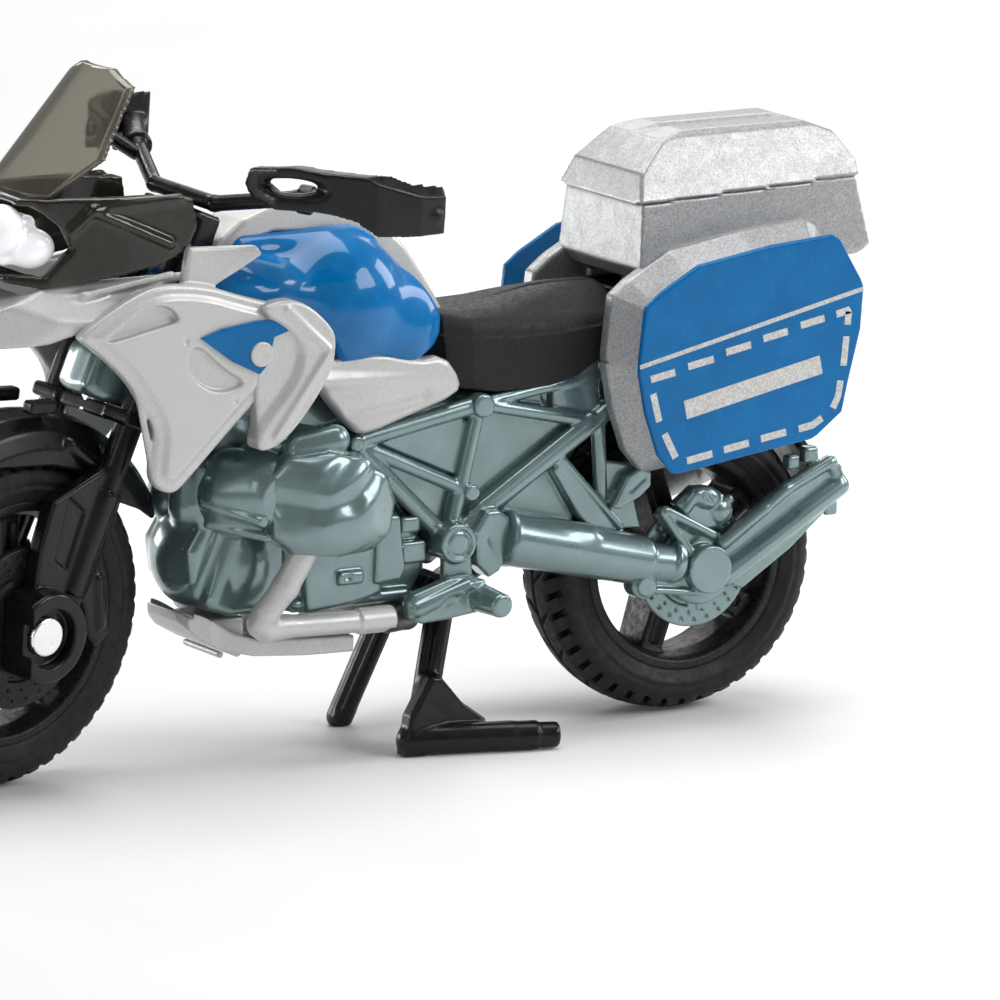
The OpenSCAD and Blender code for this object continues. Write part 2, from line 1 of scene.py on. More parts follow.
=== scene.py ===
"""Looks of the small toy adventure motorcycle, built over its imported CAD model.

Shapes are drawn in millimetres from the point on the ground below the rear axle:
-X is the front, -Y the rider's left, +Z up. Each moulded piece is shaped in a block
of distance values and then meshed, which gives it real fillets.
"""

import math

import bpy
import numpy as np
import openvdb
from mathutils import Matrix, Vector


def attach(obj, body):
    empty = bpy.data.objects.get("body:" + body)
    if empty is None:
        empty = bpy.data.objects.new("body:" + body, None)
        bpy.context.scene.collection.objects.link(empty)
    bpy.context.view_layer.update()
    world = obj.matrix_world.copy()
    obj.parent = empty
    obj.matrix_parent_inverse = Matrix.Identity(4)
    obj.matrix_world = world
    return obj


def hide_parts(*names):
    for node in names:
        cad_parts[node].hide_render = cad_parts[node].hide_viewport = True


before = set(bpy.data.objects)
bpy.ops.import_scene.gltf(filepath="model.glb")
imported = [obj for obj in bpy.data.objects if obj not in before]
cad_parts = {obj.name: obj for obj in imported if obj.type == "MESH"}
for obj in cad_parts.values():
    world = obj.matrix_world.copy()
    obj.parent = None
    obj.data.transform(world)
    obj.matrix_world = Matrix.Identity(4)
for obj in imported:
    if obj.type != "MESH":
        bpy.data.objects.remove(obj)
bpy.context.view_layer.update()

MM = 0.001
# Where the point below the rear axle lies in the shared frame, in mm
ORIGIN = (25.2, -2.3)
# Lean of the steering axis, and how far the front wheel is turned to the left at rest
RAKE = math.radians(23)
STEER = math.radians(14.8)
LEAN = Matrix.Rotation(RAKE, 3, "Y")
# A point of the steering axis, and both ends of the steering block along the axis from it
HEAD = (-44.2, 0.0, 25.0)
BLOCK = (0.6, 4.0)
# X and Z of both wheel centres
FRONT = (-52.0, 11.6)
REAR = (0.0, 10.55)


def spot(x, y, z):
    return Vector(((x + ORIGIN[0]) * MM, (y + ORIGIN[1]) * MM, z * MM))


PLACE = Matrix.Translation(spot(0, 0, 0)) @ Matrix.Scale(MM, 4)
TURN = (
    Matrix.Translation(Vector(HEAD))
    @ Matrix.Rotation(RAKE, 4, "Y")
    @ Matrix.Rotation(STEER, 4, "Z")
    @ Matrix.Rotation(-RAKE, 4, "Y")
    @ Matrix.Translation(-Vector(HEAD))
)
STEERED = PLACE @ TURN


def stem(x, y, z):
    """A point given from HEAD along the leaning directions of the steering axis."""
    return Vector(HEAD) + LEAN @ Vector((x, y, z))


# ------------------------------------------------------------------ shaping


def polygon_distance(px, pz, points):
    """Signed distance from the grid of (px, pz) to a closed outline."""
    best = None
    sign = np.ones(np.broadcast(px, pz).shape, dtype=np.float32)
    count = len(points)
    for i in range(count):
        ax, az = points[i]
        bx, bz = points[i - 1]
        ex, ez = bx - ax, bz - az
        wx, wz = px - ax, pz - az
        along = np.clip((wx * ex + wz * ez) / (ex * ex + ez * ez), 0, 1)
        dx, dz = wx - ex * along, wz - ez * along
        d = dx * dx + dz * dz
        best = d if best is None else np.minimum(best, d)
        above = pz >= az
        below = pz < bz
        cross = ex * wz > ez * wx
        flip = (above & below & cross) | (~above & ~below & ~cross)
        sign = np.where(flip, -sign, sign)
    return (sign * np.sqrt(best)).astype(np.float32)


def soft(points, rounds=2):
    """The outline with its corners cut back, which bends straight runs into curves."""
    for _ in range(rounds):
        cut = []
        for (ax, az), (bx, bz) in zip(points, points[1:] + points[:1]):
            cut.append((0.75 * ax + 0.25 * bx, 0.75 * az + 0.25 * bz))
            cut.append((0.25 * ax + 0.75 * bx, 0.25 * az + 0.75 * bz))
        points = cut
    return points


def smooth_min(a, b, k):
    if k <= 0:
        return np.minimum(a, b)
    h = np.clip(0.5 + 0.5 * (b - a) / k, 0, 1)
    return b + (a - b) * h - k * h * (1 - h)


def thick(flat, across, r):
    """Distance to a shape of two crossed distances, its edges rounded to r."""
    flat, across = flat + r, across + r
    return np.minimum(np.maximum(flat, across), 0) + np.hypot(np.maximum(flat, 0),
            np.maximum(across, 0)) - r


# Every grid is this much coarser than its piece asks for, which keeps the meshes light
COARSE = 1.3
# Distance that stands for empty space, and the strength of the smoothing after meshing
EMPTY = 9.0
SOFTEN = 0.5
# A range of Y or X that reaches past both sides of any piece
ACROSS = (-9, 9)


class Clay:
    """A block of space on a grid; d is the distance to the solid shaped so far.

    With sides, y counts as negative everywhere, so that both halves get the same shape.
    """

    def __init__(self, low, high, step=0.1, sides=False):
        step *= COARSE
        self.step = step
        self.low = np.array(low, dtype=np.float64) - 3 * step
        size = np.ceil((np.array(high) - self.low) / step).astype(int) + 4
        axes = [(self.low[i] + step * np.arange(size[i])).astype(np.float32) for i in range(3)]
        self.x = axes[0][:, None, None]
        self.y = axes[1][None, :, None]
        self.z = axes[2][None, None, :]
        if sides:
            self.y = -np.abs(self.y)
        self.shape = tuple(size)
        self.d = np.full(self.shape, EMPTY, dtype=np.float32)

    def add(self, d, k=0.0):
        self.d = smooth_min(self.d, d, k)

    def cut(self, d, k=0.0):
        self.d = -smooth_min(-self.d, d, k)

    def keep(self, d, k=0.0):
        self.d = -smooth_min(-self.d, -d, k)

    def local(self, centre, turn=None):
        x, y, z = self.x - centre[0], self.y - centre[1], self.z - centre[2]
        if turn is None:
            return x, y, z
        m = np.array(turn.transposed(), dtype=np.float32)
        return tuple(m[i][0] * x + m[i][1] * y + m[i][2] * z for i in range(3))

    def ball(self, centre, r):
        x, y, z = self.local(centre)
        return np.sqrt(x * x + y * y + z * z) - r

    def egg(self, centre, radii, turn=None):
        x, y, z = self.local(centre, turn)
        a, b, c = radii
        k0 = np.sqrt((x / a) ** 2 + (y / b) ** 2 + (z / c) ** 2) + 1e-6
        k1 = np.sqrt((x / a**2) ** 2 + (y / b**2) ** 2 + (z / c**2) ** 2) + 1e-6
        return k0 * (k0 - 1) / k1

    def box(self, centre, half, r=0.15, turn=None):
        x, y, z = self.local(centre, turn)
        qx, qy, qz = (np.abs(v) - (h - r) for v, h in zip((x, y, z), half))
        inside = np.minimum(np.maximum(np.maximum(qx, qy), qz), 0)
        return inside + np.sqrt(np.maximum(qx, 0) ** 2 + np.maximum(qy, 0) ** 2 + np.maximum(qz,
                0) ** 2) - r

    def capsule(self, a, b, ra, rb=None):
        rb = ra if rb is None else rb
        ab = [b[i] - a[i] for i in range(3)]
        x, y, z = self.local(a)
        t = np.clip((x * ab[0] + y * ab[1] + z * ab[2]) / sum(v * v for v in ab), 0, 1)
        return np.sqrt((x - ab[0] * t) ** 2 + (y - ab[1] * t) ** 2 + (z - ab[2] * t) ** 2) - (ra +
                (rb - ra) * t)

    def rod(self, a, b, r, rb=None, edge=0.12):
        """A round bar with flat ends."""
        rb = r if rb is None else rb
        ab = np.array(b, dtype=np.float64) - np.array(a, dtype=np.float64)
        length = float(np.linalg.norm(ab))
        u = ab / length
        x, y, z = self.local(a)
        t = x * u[0] + y * u[1] + z * u[2]
        out = np.sqrt(np.maximum((x - t * u[0]) ** 2 + (y - t * u[1]) ** 2 + (z - t * u[2]) ** 2, 0))
        r_here = r + (rb - r) * np.clip(t / length, 0, 1)
        return thick(out - r_here, np.abs(t - length / 2) - length / 2, edge)

    def disc(self, x, z, r, y0, y1, edge=0.1):
        """A round boss along Y."""
        flat = np.hypot(self.x - x, self.z - z) - r
        return thick(flat, np.abs(self.y - (y0 + y1) / 2) - abs(y1 - y0) / 2, edge)

    def slab(self, outline, y0, y1, edge=0.15):
        """A plate with its outline in X and Z."""
        flat = polygon_distance(self.x, self.z, outline)
        return thick(flat, np.abs(self.y - (y0 + y1) / 2) - abs(y1 - y0) / 2, edge)

    def plan(self, outline, z0, z1, edge=0.15):
        """A plate with its outline in X and Y."""
        return thick(polygon_distance(self.x, self.y, outline),
                np.abs(self.z - (z0 + z1) / 2) - abs(z1 - z0) / 2, edge)

    def front(self, outline, x0, x1, edge=0.15):
        """A plate with its outline in Y and Z."""
        return thick(polygon_distance(self.y, self.z, outline),
                np.abs(self.x - (x0 + x1) / 2) - abs(x1 - x0) / 2, edge)

    def below(self, point, normal):
        """Negative on the side of a plane that its normal points away from."""
        n = np.array(normal, dtype=np.float64)
        n = n / np.linalg.norm(n)
        x, y, z = self.local(point)
        return n[0] * x + n[1] * y + n[2] * z

    def ring(self, x, z, profile):
        """A closed profile of (y, radius) points turned round the Y axis through x, z."""
        radius = np.hypot(self.x - x, self.z - z)
        fine = self.step / 2
        reach = float(radius.max()) + 1
        table_r = np.arange(0, reach, fine, dtype=np.float32)[None, :]
        table = polygon_distance(self.y.reshape(-1, 1), table_r, profile)
        at = radius[:, 0, :] / fine
        i = at.astype(int)
        part = (at - i)[:, None, :].astype(np.float32)
        low = np.moveaxis(table[:, i], 0, 1)
        high = np.moveaxis(table[:, i + 1], 0, 1)
        return low + (high - low) * part

    def angle(self, x, z):
        return np.arctan2(self.z - z, self.x - x)

    def sector(self, x, z, count, start=0.0):
        """The angle round (x, z) from the nearest of count evenly spaced marks."""
        step = 2 * math.pi / count
        return np.mod(self.angle(x, z) + start + step / 2, step) - step / 2

    def drill(self, x, z, face, holes):
        """Rings of small holes round (x, z), open on the given face."""
        radius = np.hypot(self.x - x, self.z - z)
        for ring_r, count, size, start in holes:
            a = self.sector(x, z, count, start)
            hole = np.hypot(radius * np.cos(a) - ring_r, radius * np.sin(a)) - size
            self.cut(np.maximum(hole, face), 0.03)

    def piece(self, name, place=PLACE, mirror=False, smooth=2):
        grid = openvdb.FloatGrid(EMPTY)
        grid.copyFromArray(np.ascontiguousarray(self.d.astype(np.float32)))
        points, quads = grid.convertToQuads(isovalue=0.0)
        points = points.astype(np.float64) * self.step + self.low
        if mirror:
            points[:, 1] = -points[:, 1]
        return mesh_piece(name, points, quads, place, smooth)


def volume_sign(points, faces):
    a, b, c = points[faces[:, 0]], points[faces[:, 1]], points[faces[:, 2]]
    centre = points.mean(0)
    total = np.einsum("ij,ij->i", a - centre, np.cross(b - centre, c - centre)).sum()
    if faces.shape[1] == 4:
        e = points[faces[:, 3]]
        total += np.einsum("ij,ij->i", a - centre, np.cross(c - centre, e - centre)).sum()
    return total


def mesh_piece(name, points, faces, place=PLACE, smooth=0):
    faces = np.asarray(faces)
    points = np.asarray(points, dtype=np.float64)
    if volume_sign(points, faces) < 0:
        faces = faces[:, ::-1]
    m = np.array(place)
    points = points @ m[:3, :3].T + m[:3, 3]
    mesh = bpy.data.meshes.new(name)
    count = faces.shape[1]
    mesh.vertices.add(len(points))
    mesh.vertices.foreach_set("co", points.astype(np.float32).ravel())
    mesh.loops.add(faces.size)
    mesh.loops.foreach_set("vertex_index", np.ascontiguousarray(faces).astype(np.int32).ravel())
    mesh.polygons.add(len(faces))
    mesh.polygons.foreach_set("loop_start", np.arange(0, faces.size, count, dtype=np.int32))
    mesh.update(calc_edges=True)
    mesh.validate()
    mesh.polygons.foreach_set("use_smooth", np.ones(len(mesh.polygons), dtype=bool))
    piece = bpy.data.objects.new(name, mesh)
    bpy.context.scene.collection.objects.link(piece)
    if smooth:
        soften = piece.modifiers.new("soften", "SMOOTH")
        soften.factor = SOFTEN
        soften.iterations = smooth
    return piece


# The material slot that each finish belongs to
SLOT = {
    "teal": "teal_casting", "silver": "silver_paint", "print": "silver_paint", "flake": "case_flake",
    "blue": "blue_panel", "tank": "blue_panel", "black": "black_plastic", "seat": "seat_black",
    "smoke": "smoke_plastic", "screen": "screen_clear", "lamp": "lamp_white", "red": "lamp_red",
    "nickel": "nickel", "exhaust": "dark_metal", "tyre": "tyre_rubber", "rim": "rim_black",
}
# Bodies that turn with the handlebar
STEERED_BODIES = ("steering", "front_wheel")


def dress(piece, look, body, *nodes):
    """Gives a piece its finish, the body it rides on and the CAD nodes that it stands for."""
    material, slot = M[look], SLOT[look]
    piece.data.materials.append(material)
    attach(piece, body)
    if nodes:
        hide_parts(*nodes)


def place_of(body):
    return STEERED if body in STEERED_BODIES else PLACE


def cast(clay, name, look, body="chassis"):
    """Meshes the clay as the one piece that stands for the CAD node of the same name."""
    dress(clay.piece(name, place_of(body)), look, body, name)


def both_sides(clay, name, look, body="chassis", smooth=2):
    """The left piece and its mirror image, each standing for the CAD node of its side."""
    for side, mirror in (("left", False), ("right", True)):
        piece = clay.piece(f"{name}_{side}", place_of(body), mirror, smooth)
        dress(piece, look, body, f"{name}_{side}")


# ------------------------------------------------------------------ materials


# Nearly all values of a noise lie in this range
NOISE_RANGE = (0.3, 0.7)


class Paint:
    """A material and the few nodes that every finish here is mixed from."""

    def __init__(self, name, colour, roughness, metallic=0.0, coat=0.0, coat_roughness=0.03, ior=1.5):
        self.material = bpy.data.materials.new(name)
        self.material.use_nodes = True
        self.tree = self.material.node_tree
        self.shader = self.tree.nodes["Principled BSDF"]
        values = {
            "Base Color": (*colour, 1),
            "Roughness": roughness,
            "Metallic": metallic,
            "Coat Weight": coat,
            "Coat Roughness": coat_roughness,
            "IOR": ior,
        }
        for key, value in values.items():
            self.shader.inputs[key].default_value = value
        coords = self.tree.nodes.new("ShaderNodeTexCoord")
        self.where = coords.outputs["Object"]
        self.height = None

    def noise(self, scale, detail=3.0, roughness=0.55):
        node = self.tree.nodes.new("ShaderNodeTexNoise")
        node.inputs["Scale"].default_value = scale
        node.inputs["Detail"].default_value = detail
        node.inputs["Roughness"].default_value = roughness
        self.tree.links.new(self.where, node.inputs["Vector"])
        return node.outputs["Fac"]

    def cells(self, scale):
        node = self.tree.nodes.new("ShaderNodeTexVoronoi")
        node.inputs["Scale"].default_value = scale
        self.tree.links.new(self.where, node.inputs["Vector"])
        return node.outputs["Color"]

    def vary_roughness(self, value, low, high):
        node = self.tree.nodes.new("ShaderNodeMapRange")
        node.inputs["From Min"].default_value, node.inputs["From Max"].default_value = NOISE_RANGE
        node.inputs["To Min"].default_value = low
        node.inputs["To Max"].default_value = high
        self.tree.links.new(value, node.inputs["Value"])
        self.tree.links.new(node.outputs["Result"], self.shader.inputs["Roughness"])

    def vary_colour(self, value, dark, light, low=0.35, high=0.65):
        ramp = self.tree.nodes.new("ShaderNodeValToRGB")
        ramp.color_ramp.elements[0].position = low
        ramp.color_ramp.elements[0].color = (*dark, 1)
        ramp.color_ramp.elements[1].position = high
        ramp.color_ramp.elements[1].color = (*light, 1)
        self.tree.links.new(value, ramp.inputs["Fac"])
        self.tree.links.new(ramp.outputs["Color"], self.shader.inputs["Base Color"])

    def bump(self, value, strength, distance):
        node = self.tree.nodes.new("ShaderNodeBump")
        node.inputs["Strength"].default_value = strength
        node.inputs["Distance"].default_value = distance
        self.tree.links.new(value, node.inputs["Height"])
        if self.height is not None:
            self.tree.links.new(self.height, node.inputs["Normal"])
        self.height = node.outputs["Normal"]
        self.tree.links.new(self.height, self.shader.inputs["Normal"])


def make_materials():
    made = {}

    p = Paint("teal casting", (0.17, 0.24, 0.25), 0.3, metallic=0.6, coat=1.0, coat_roughness=0.03)
    p.vary_roughness(p.noise(500), 0.24, 0.36)
    p.vary_colour(p.noise(300, 4), (0.16, 0.235, 0.24), (0.19, 0.275, 0.28))
    p.bump(p.noise(900, 2), 0.12, 0.00008)
    p.bump(p.noise(5000, 2), 0.05, 0.00002)
    made["teal"] = p.material

    p = Paint("silver paint", (0.62, 0.62, 0.61), 0.42, metallic=0.35, coat=0.25, coat_roughness=0.2)
    p.vary_roughness(p.noise(700), 0.36, 0.5)
    p.vary_colour(p.noise(9000, 2), (0.52, 0.52, 0.51), (0.61, 0.61, 0.60))
    p.bump(p.noise(6000, 2), 0.06, 0.00002)
    p.bump(p.noise(600, 2), 0.08, 0.00005)
    made["silver"] = p.material

    p = Paint("flake silver", (0.45, 0.455, 0.46), 0.4, metallic=0.6, coat=0.3, coat_roughness=0.15)
    p.vary_roughness(p.noise(900), 0.36, 0.5)
    p.vary_colour(p.cells(11000), (0.28, 0.285, 0.29), (0.44, 0.445, 0.45), 0.15, 0.85)
    p.bump(p.cells(9000), 0.28, 0.00003)
    p.bump(p.noise(1200, 2), 0.06, 0.00004)
    made["flake"] = p.material

    p = Paint("blue enamel", (0.0, 0.16, 0.40), 0.3, coat=0.25, coat_roughness=0.03)
    p.shader.inputs["Specular IOR Level"].default_value = 0.1
    p.vary_roughness(p.noise(800), 0.18, 0.3)
    p.vary_colour(p.noise(400, 3), (0.0, 0.12, 0.34), (0.0, 0.145, 0.39))
    p.bump(p.noise(700, 2), 0.08, 0.00005)
    made["blue"] = p.material

    p = Paint("tank enamel", (0.0, 0.16, 0.42), 0.3, coat=0.6, coat_roughness=0.05)
    p.shader.inputs["Specular IOR Level"].default_value = 0.1
    p.vary_roughness(p.noise(800), 0.2, 0.3)
    p.vary_colour(p.noise(400, 3), (0.0, 0.13, 0.36), (0.0, 0.16, 0.43))
    p.bump(p.noise(500, 2), 0.05, 0.00005)
    made["tank"] = p.material

    p = Paint("printed silver", (0.55, 0.55, 0.54), 0.45, metallic=0.4)
    p.vary_roughness(p.noise(900), 0.4, 0.55)
    p.vary_colour(p.cells(9000), (0.44, 0.44, 0.43), (0.66, 0.66, 0.64), 0.2, 0.8)
    p.bump(p.cells(9000), 0.2, 0.00002)
    made["print"] = p.material

    p = Paint("black plastic", (0.004, 0.004, 0.0045), 0.26, coat=0.15, coat_roughness=0.05)
    p.shader.inputs["Specular IOR Level"].default_value = 0.25
    p.vary_roughness(p.noise(900), 0.22, 0.42)
    p.vary_colour(p.noise(500, 4), (0.003, 0.003, 0.0035), (0.007, 0.007, 0.0075))
    p.bump(p.noise(1500, 3), 0.1, 0.00004)
    p.bump(p.noise(300, 2), 0.05, 0.0001)
    made["black"] = p.material

    p = Paint("seat grain", (0.026, 0.025, 0.024), 0.55)
    p.vary_roughness(p.noise(3000), 0.42, 0.68)
    p.vary_colour(p.noise(9000, 2), (0.010, 0.010, 0.0096), (0.018, 0.0176, 0.0168))
    p.shader.inputs["Specular IOR Level"].default_value = 0.3
    p.bump(p.noise(5200, 4, 0.7), 0.45, 0.00006)
    made["seat"] = p.material

    p = Paint("smoked plastic", (0.030, 0.027, 0.018), 0.16, coat=0.4, coat_roughness=0.03)
    p.shader.inputs["Specular IOR Level"].default_value = 0.3
    p.vary_roughness(p.noise(800), 0.1, 0.24)
    p.vary_colour(p.noise(350, 4), (0.010, 0.009, 0.006), (0.022, 0.020, 0.014))
    p.bump(p.noise(900, 2), 0.12, 0.00005)
    made["smoke"] = p.material

    p = Paint("clear smoked sheet", (0.28, 0.26, 0.21), 0.05, ior=1.45)
    p.shader.inputs["Transmission Weight"].default_value = 0.85
    p.vary_roughness(p.noise(700), 0.02, 0.1)
    p.bump(p.noise(500, 2), 0.05, 0.00005)
    made["screen"] = p.material

    p = Paint("white lens with painted glow", (0.92, 0.93, 0.95), 0.12, coat=1.0, coat_roughness=0.03)
    p.vary_roughness(p.noise(900), 0.08, 0.2)
    p.bump(p.noise(1400, 2), 0.08, 0.00004)
    # The lens is white plastic and gives no light; this faint emission is a painted glow that keeps it
    # bright white
    p.shader.inputs["Emission Color"].default_value = (0.95, 0.97, 1.0, 1)
    p.shader.inputs["Emission Strength"].default_value = 0.25
    made["lamp"] = p.material

    p = Paint("red lens", (0.5, 0.012, 0.012), 0.15, coat=1.0, coat_roughness=0.03)
    p.vary_roughness(p.noise(900), 0.1, 0.22)
    p.bump(p.noise(1400, 2), 0.08, 0.00004)
    made["red"] = p.material

    p = Paint("nickel", (0.85, 0.85, 0.83), 0.25, metallic=1.0)
    p.vary_roughness(p.noise(1200), 0.18, 0.34)
    p.bump(p.noise(3000, 2), 0.08, 0.00003)
    made["nickel"] = p.material

    p = Paint("exhaust paint", (0.12, 0.115, 0.105), 0.38, metallic=0.7)
    p.vary_roughness(p.noise(900), 0.28, 0.5)
    p.vary_colour(p.noise(400, 4), (0.07, 0.066, 0.06), (0.17, 0.165, 0.155))
    p.bump(p.noise(2500, 3), 0.15, 0.00004)
    made["exhaust"] = p.material

    p = Paint("tyre rubber", (0.018, 0.018, 0.017), 0.55)
    p.shader.inputs["Specular IOR Level"].default_value = 0.3
    p.vary_roughness(p.noise(1800), 0.45, 0.68)
    p.vary_colour(p.noise(1500, 4), (0.007, 0.007, 0.0068), (0.016, 0.016, 0.0155))
    p.bump(p.noise(4000, 4, 0.65), 0.3, 0.00005)
    made["tyre"] = p.material

    p = Paint("rim grain", (0.02, 0.02, 0.021), 0.4)
    p.shader.inputs["Specular IOR Level"].default_value = 0.3
    p.vary_roughness(p.noise(2500), 0.3, 0.55)
    p.vary_colour(p.cells(8000), (0.005, 0.005, 0.005), (0.024, 0.024, 0.023), 0.4, 0.95)
    p.bump(p.noise(6000, 3, 0.7), 0.4, 0.00005)
    made["rim"] = p.material
    return made


# Every finish by its short name
M = make_materials()


# ------------------------------------------------------------------ wheels


def tyre_clay(x, z, r, half, rim_r, bead, blocks, step):
    c = Clay((x - r, -half - 0.1, z - r), (x + r, half + 0.1, z + r), step)
    side = [
        (bead - 0.25, rim_r - 0.2),
        (bead, rim_r),
        (half, rim_r + 0.8),
        (half - 0.03, rim_r + 1.45),
        (half - 0.2, r - 1.05),
        (half * 0.76, r - 0.58),
        (half * 0.4, r - 0.16),
        (0.0, r),
    ]
    profile = side + [(-y, radius) for y, radius in reversed(side[:-1])]
    c.add(c.ring(x, z, profile))
    radius = np.hypot(c.x - x, c.z - z)
    for sign in (-1, 1):
        groove = np.hypot(radius - (rim_r + 1.1), c.y - sign * (half + 0.02)) - 0.13
        c.cut(groove, 0.06)
        shoulder = np.hypot(radius - (r - 0.78), c.y - sign * (half * 0.9)) - 0.09
        c.cut(shoulder, 0.05)
    sector = 2 * math.pi / blocks
    angle = c.angle(x, z)
    for sign in (-1, 1):
        shift = 0.0 if sign < 0 else sector / 2
        slant = 0.42 * (np.abs(c.y) - half * 0.7)
        turn = c.sector(x, z, blocks, shift)
        along = turn * radius + slant
        inner = half * 0.42 - sign * c.y
        notch = np.maximum(np.maximum(np.abs(along) - 0.21, inner), (r - 0.95) - radius)
        c.cut(notch, 0.08)
        mid = np.mod(angle + shift, sector * 2) - sector
        wedge = np.abs(mid * radius + 0.9 * sign * c.y + 0.5) - 0.14
        notch = np.maximum(np.maximum(wedge, np.abs(c.y - sign * half * 0.26) - half * 0.24),
                (r - 0.34) - radius)
        c.cut(notch, 0.06)
    c.cut(np.maximum(np.abs(c.y) - 0.11, (r - 0.28) - radius), 0.06)
    return c


def wheels():
    c = tyre_clay(*FRONT, 11.6, 2.25, 8.45, 2.02, 50, 0.09)
    cast(c, "front_tyre", "tyre", "front_wheel")
    c = tyre_clay(*REAR, 10.55, 3.1, 7.6, 2.72, 44, 0.09)
    cast(c, "rear_tyre", "tyre", "rear_wheel")
    rim("front_rim", FRONT, 8.42, 2.02, 2.85, 1.7, 1.57, 1.35, "front_wheel", disc_r=5.55)
    rim("rear_rim", REAR, 7.57, 2.72, 3.2, 2.1, 0.62, 1.75, "rear_wheel")


def rim(name, centre, r, half, hub_half, hub_r, phase, width, body, disc_r=0.0):
    """Rolled barrel, twin spokes and hub; the front one carries its two brake discs."""
    x, z = centre
    c = Clay((x - r, -hub_half - 0.1, z - r), (x + r, hub_half + 0.1, z + r), 0.085)
    barrel = [
        (half, r),
        (half, r - 0.62),
        (half - 0.45, r - 0.86),
        (half * 0.45, r - 1.15),
        (-half * 0.45, r - 1.15),
        (-half + 0.45, r - 0.86),
        (-half, r - 0.62),
        (-half, r),
    ]
    c.add(c.ring(x, z, barrel))
    radius = np.hypot(c.x - x, c.z - z)
    c.add(c.disc(x, z, hub_r, -hub_half, hub_half, 0.2), 0.15)
    turn = c.sector(x, z, 5, -phase)
    along, across = radius * np.cos(turn), radius * np.sin(turn)
    wide = width * 0.5 + 0.1 * np.maximum(hub_r + 1.2 - along, 0)
    spoke = thick(np.abs(across) - wide, np.abs(c.y) - half * 0.62 - 0.06 * np.maximum(r - along - 2,
            0), 0.18)
    spoke = np.maximum(spoke, along - (r - 0.6))
    spoke = np.maximum(spoke, 0.4 - along)
    c.add(spoke, 0.35)
    for sign in (-1, 1):
        trough = np.sqrt(across**2 + (c.y - sign * (half * 0.62 + 0.12)) ** 2) - width * 0.24
        c.cut(np.maximum(trough, np.maximum(hub_r + 0.7 - along, along - (r - 1.5))), 0.12)
    if disc_r:
        for sign in (-1, 1):
            plate = thick(radius - disc_r, np.abs(c.y - sign * 2.55) - 0.3, 0.08)
            c.add(np.maximum(plate, hub_r - 0.2 - radius), 0.05)
            face = np.abs(c.y - sign * 2.85) - 0.18
            c.drill(x, z, face, ((4.95, 26, 0.13, 0.0), (4.3, 22, 0.11, 0.1)))
            a = c.sector(x, z, 5, 0.3)
            slot = np.maximum(np.abs(radius - 3.55) - 0.14, np.abs(a * 3.55) - 1.15)
            c.cut(np.maximum(slot, face), 0.06)
    c.cut(c.disc(x, z, 0.62, -9, 9, 0.0))
    cast(c, name, "rim", body)


# ------------------------------------------------------------------ engine and frame


def frame_spine():
    c = Clay((-47.6, -2.6, 11.9), (9.4, 2.6, 30), 0.12)
    outline = [(-43.9, 25.8), (-41.3, 24.6), (-40.4, 22.8), (-36, 21.4), (-31.6, 21.4), (-26.6, 21.4),
            (-17.6, 22.6), (-8.4, 21.6), (-4, 22.4), (4.5, 26.2), (9, 26.6), (9, 27.9), (3.5, 28),
            (-6, 25.7), (-10.6, 24.2), (-19.2, 24.3), (-23, 27.4), (-37, 28.4), (-39.3, 27),
            (-42.5, 28.3)]
    c.add(c.slab(outline, -2.2, 2.2, 0.35))
    c.add(c.slab([(-21.2, 12.4), (-19.6, 12.2), (-17.2, 14), (-17.2, 22.6), (-20.4, 22.6)], -2.2, 2.2,
            0.3), 0.3)
    c.add(c.rod(stem(0, 0, BLOCK[0]), stem(0, 0, BLOCK[1]), 2.42, edge=0.4), 0.15)
    middle = sum(BLOCK) / 2
    c.add(c.box(stem(-1.0, 0, middle), (1.35, 2.1, 1.7), 0.7, LEAN), 0.3)
    c.cut(c.rod(stem(0, 0, 0), stem(0, 0, 6), 1.06, edge=0.0))
    cast(c, "frame_spine", "teal")


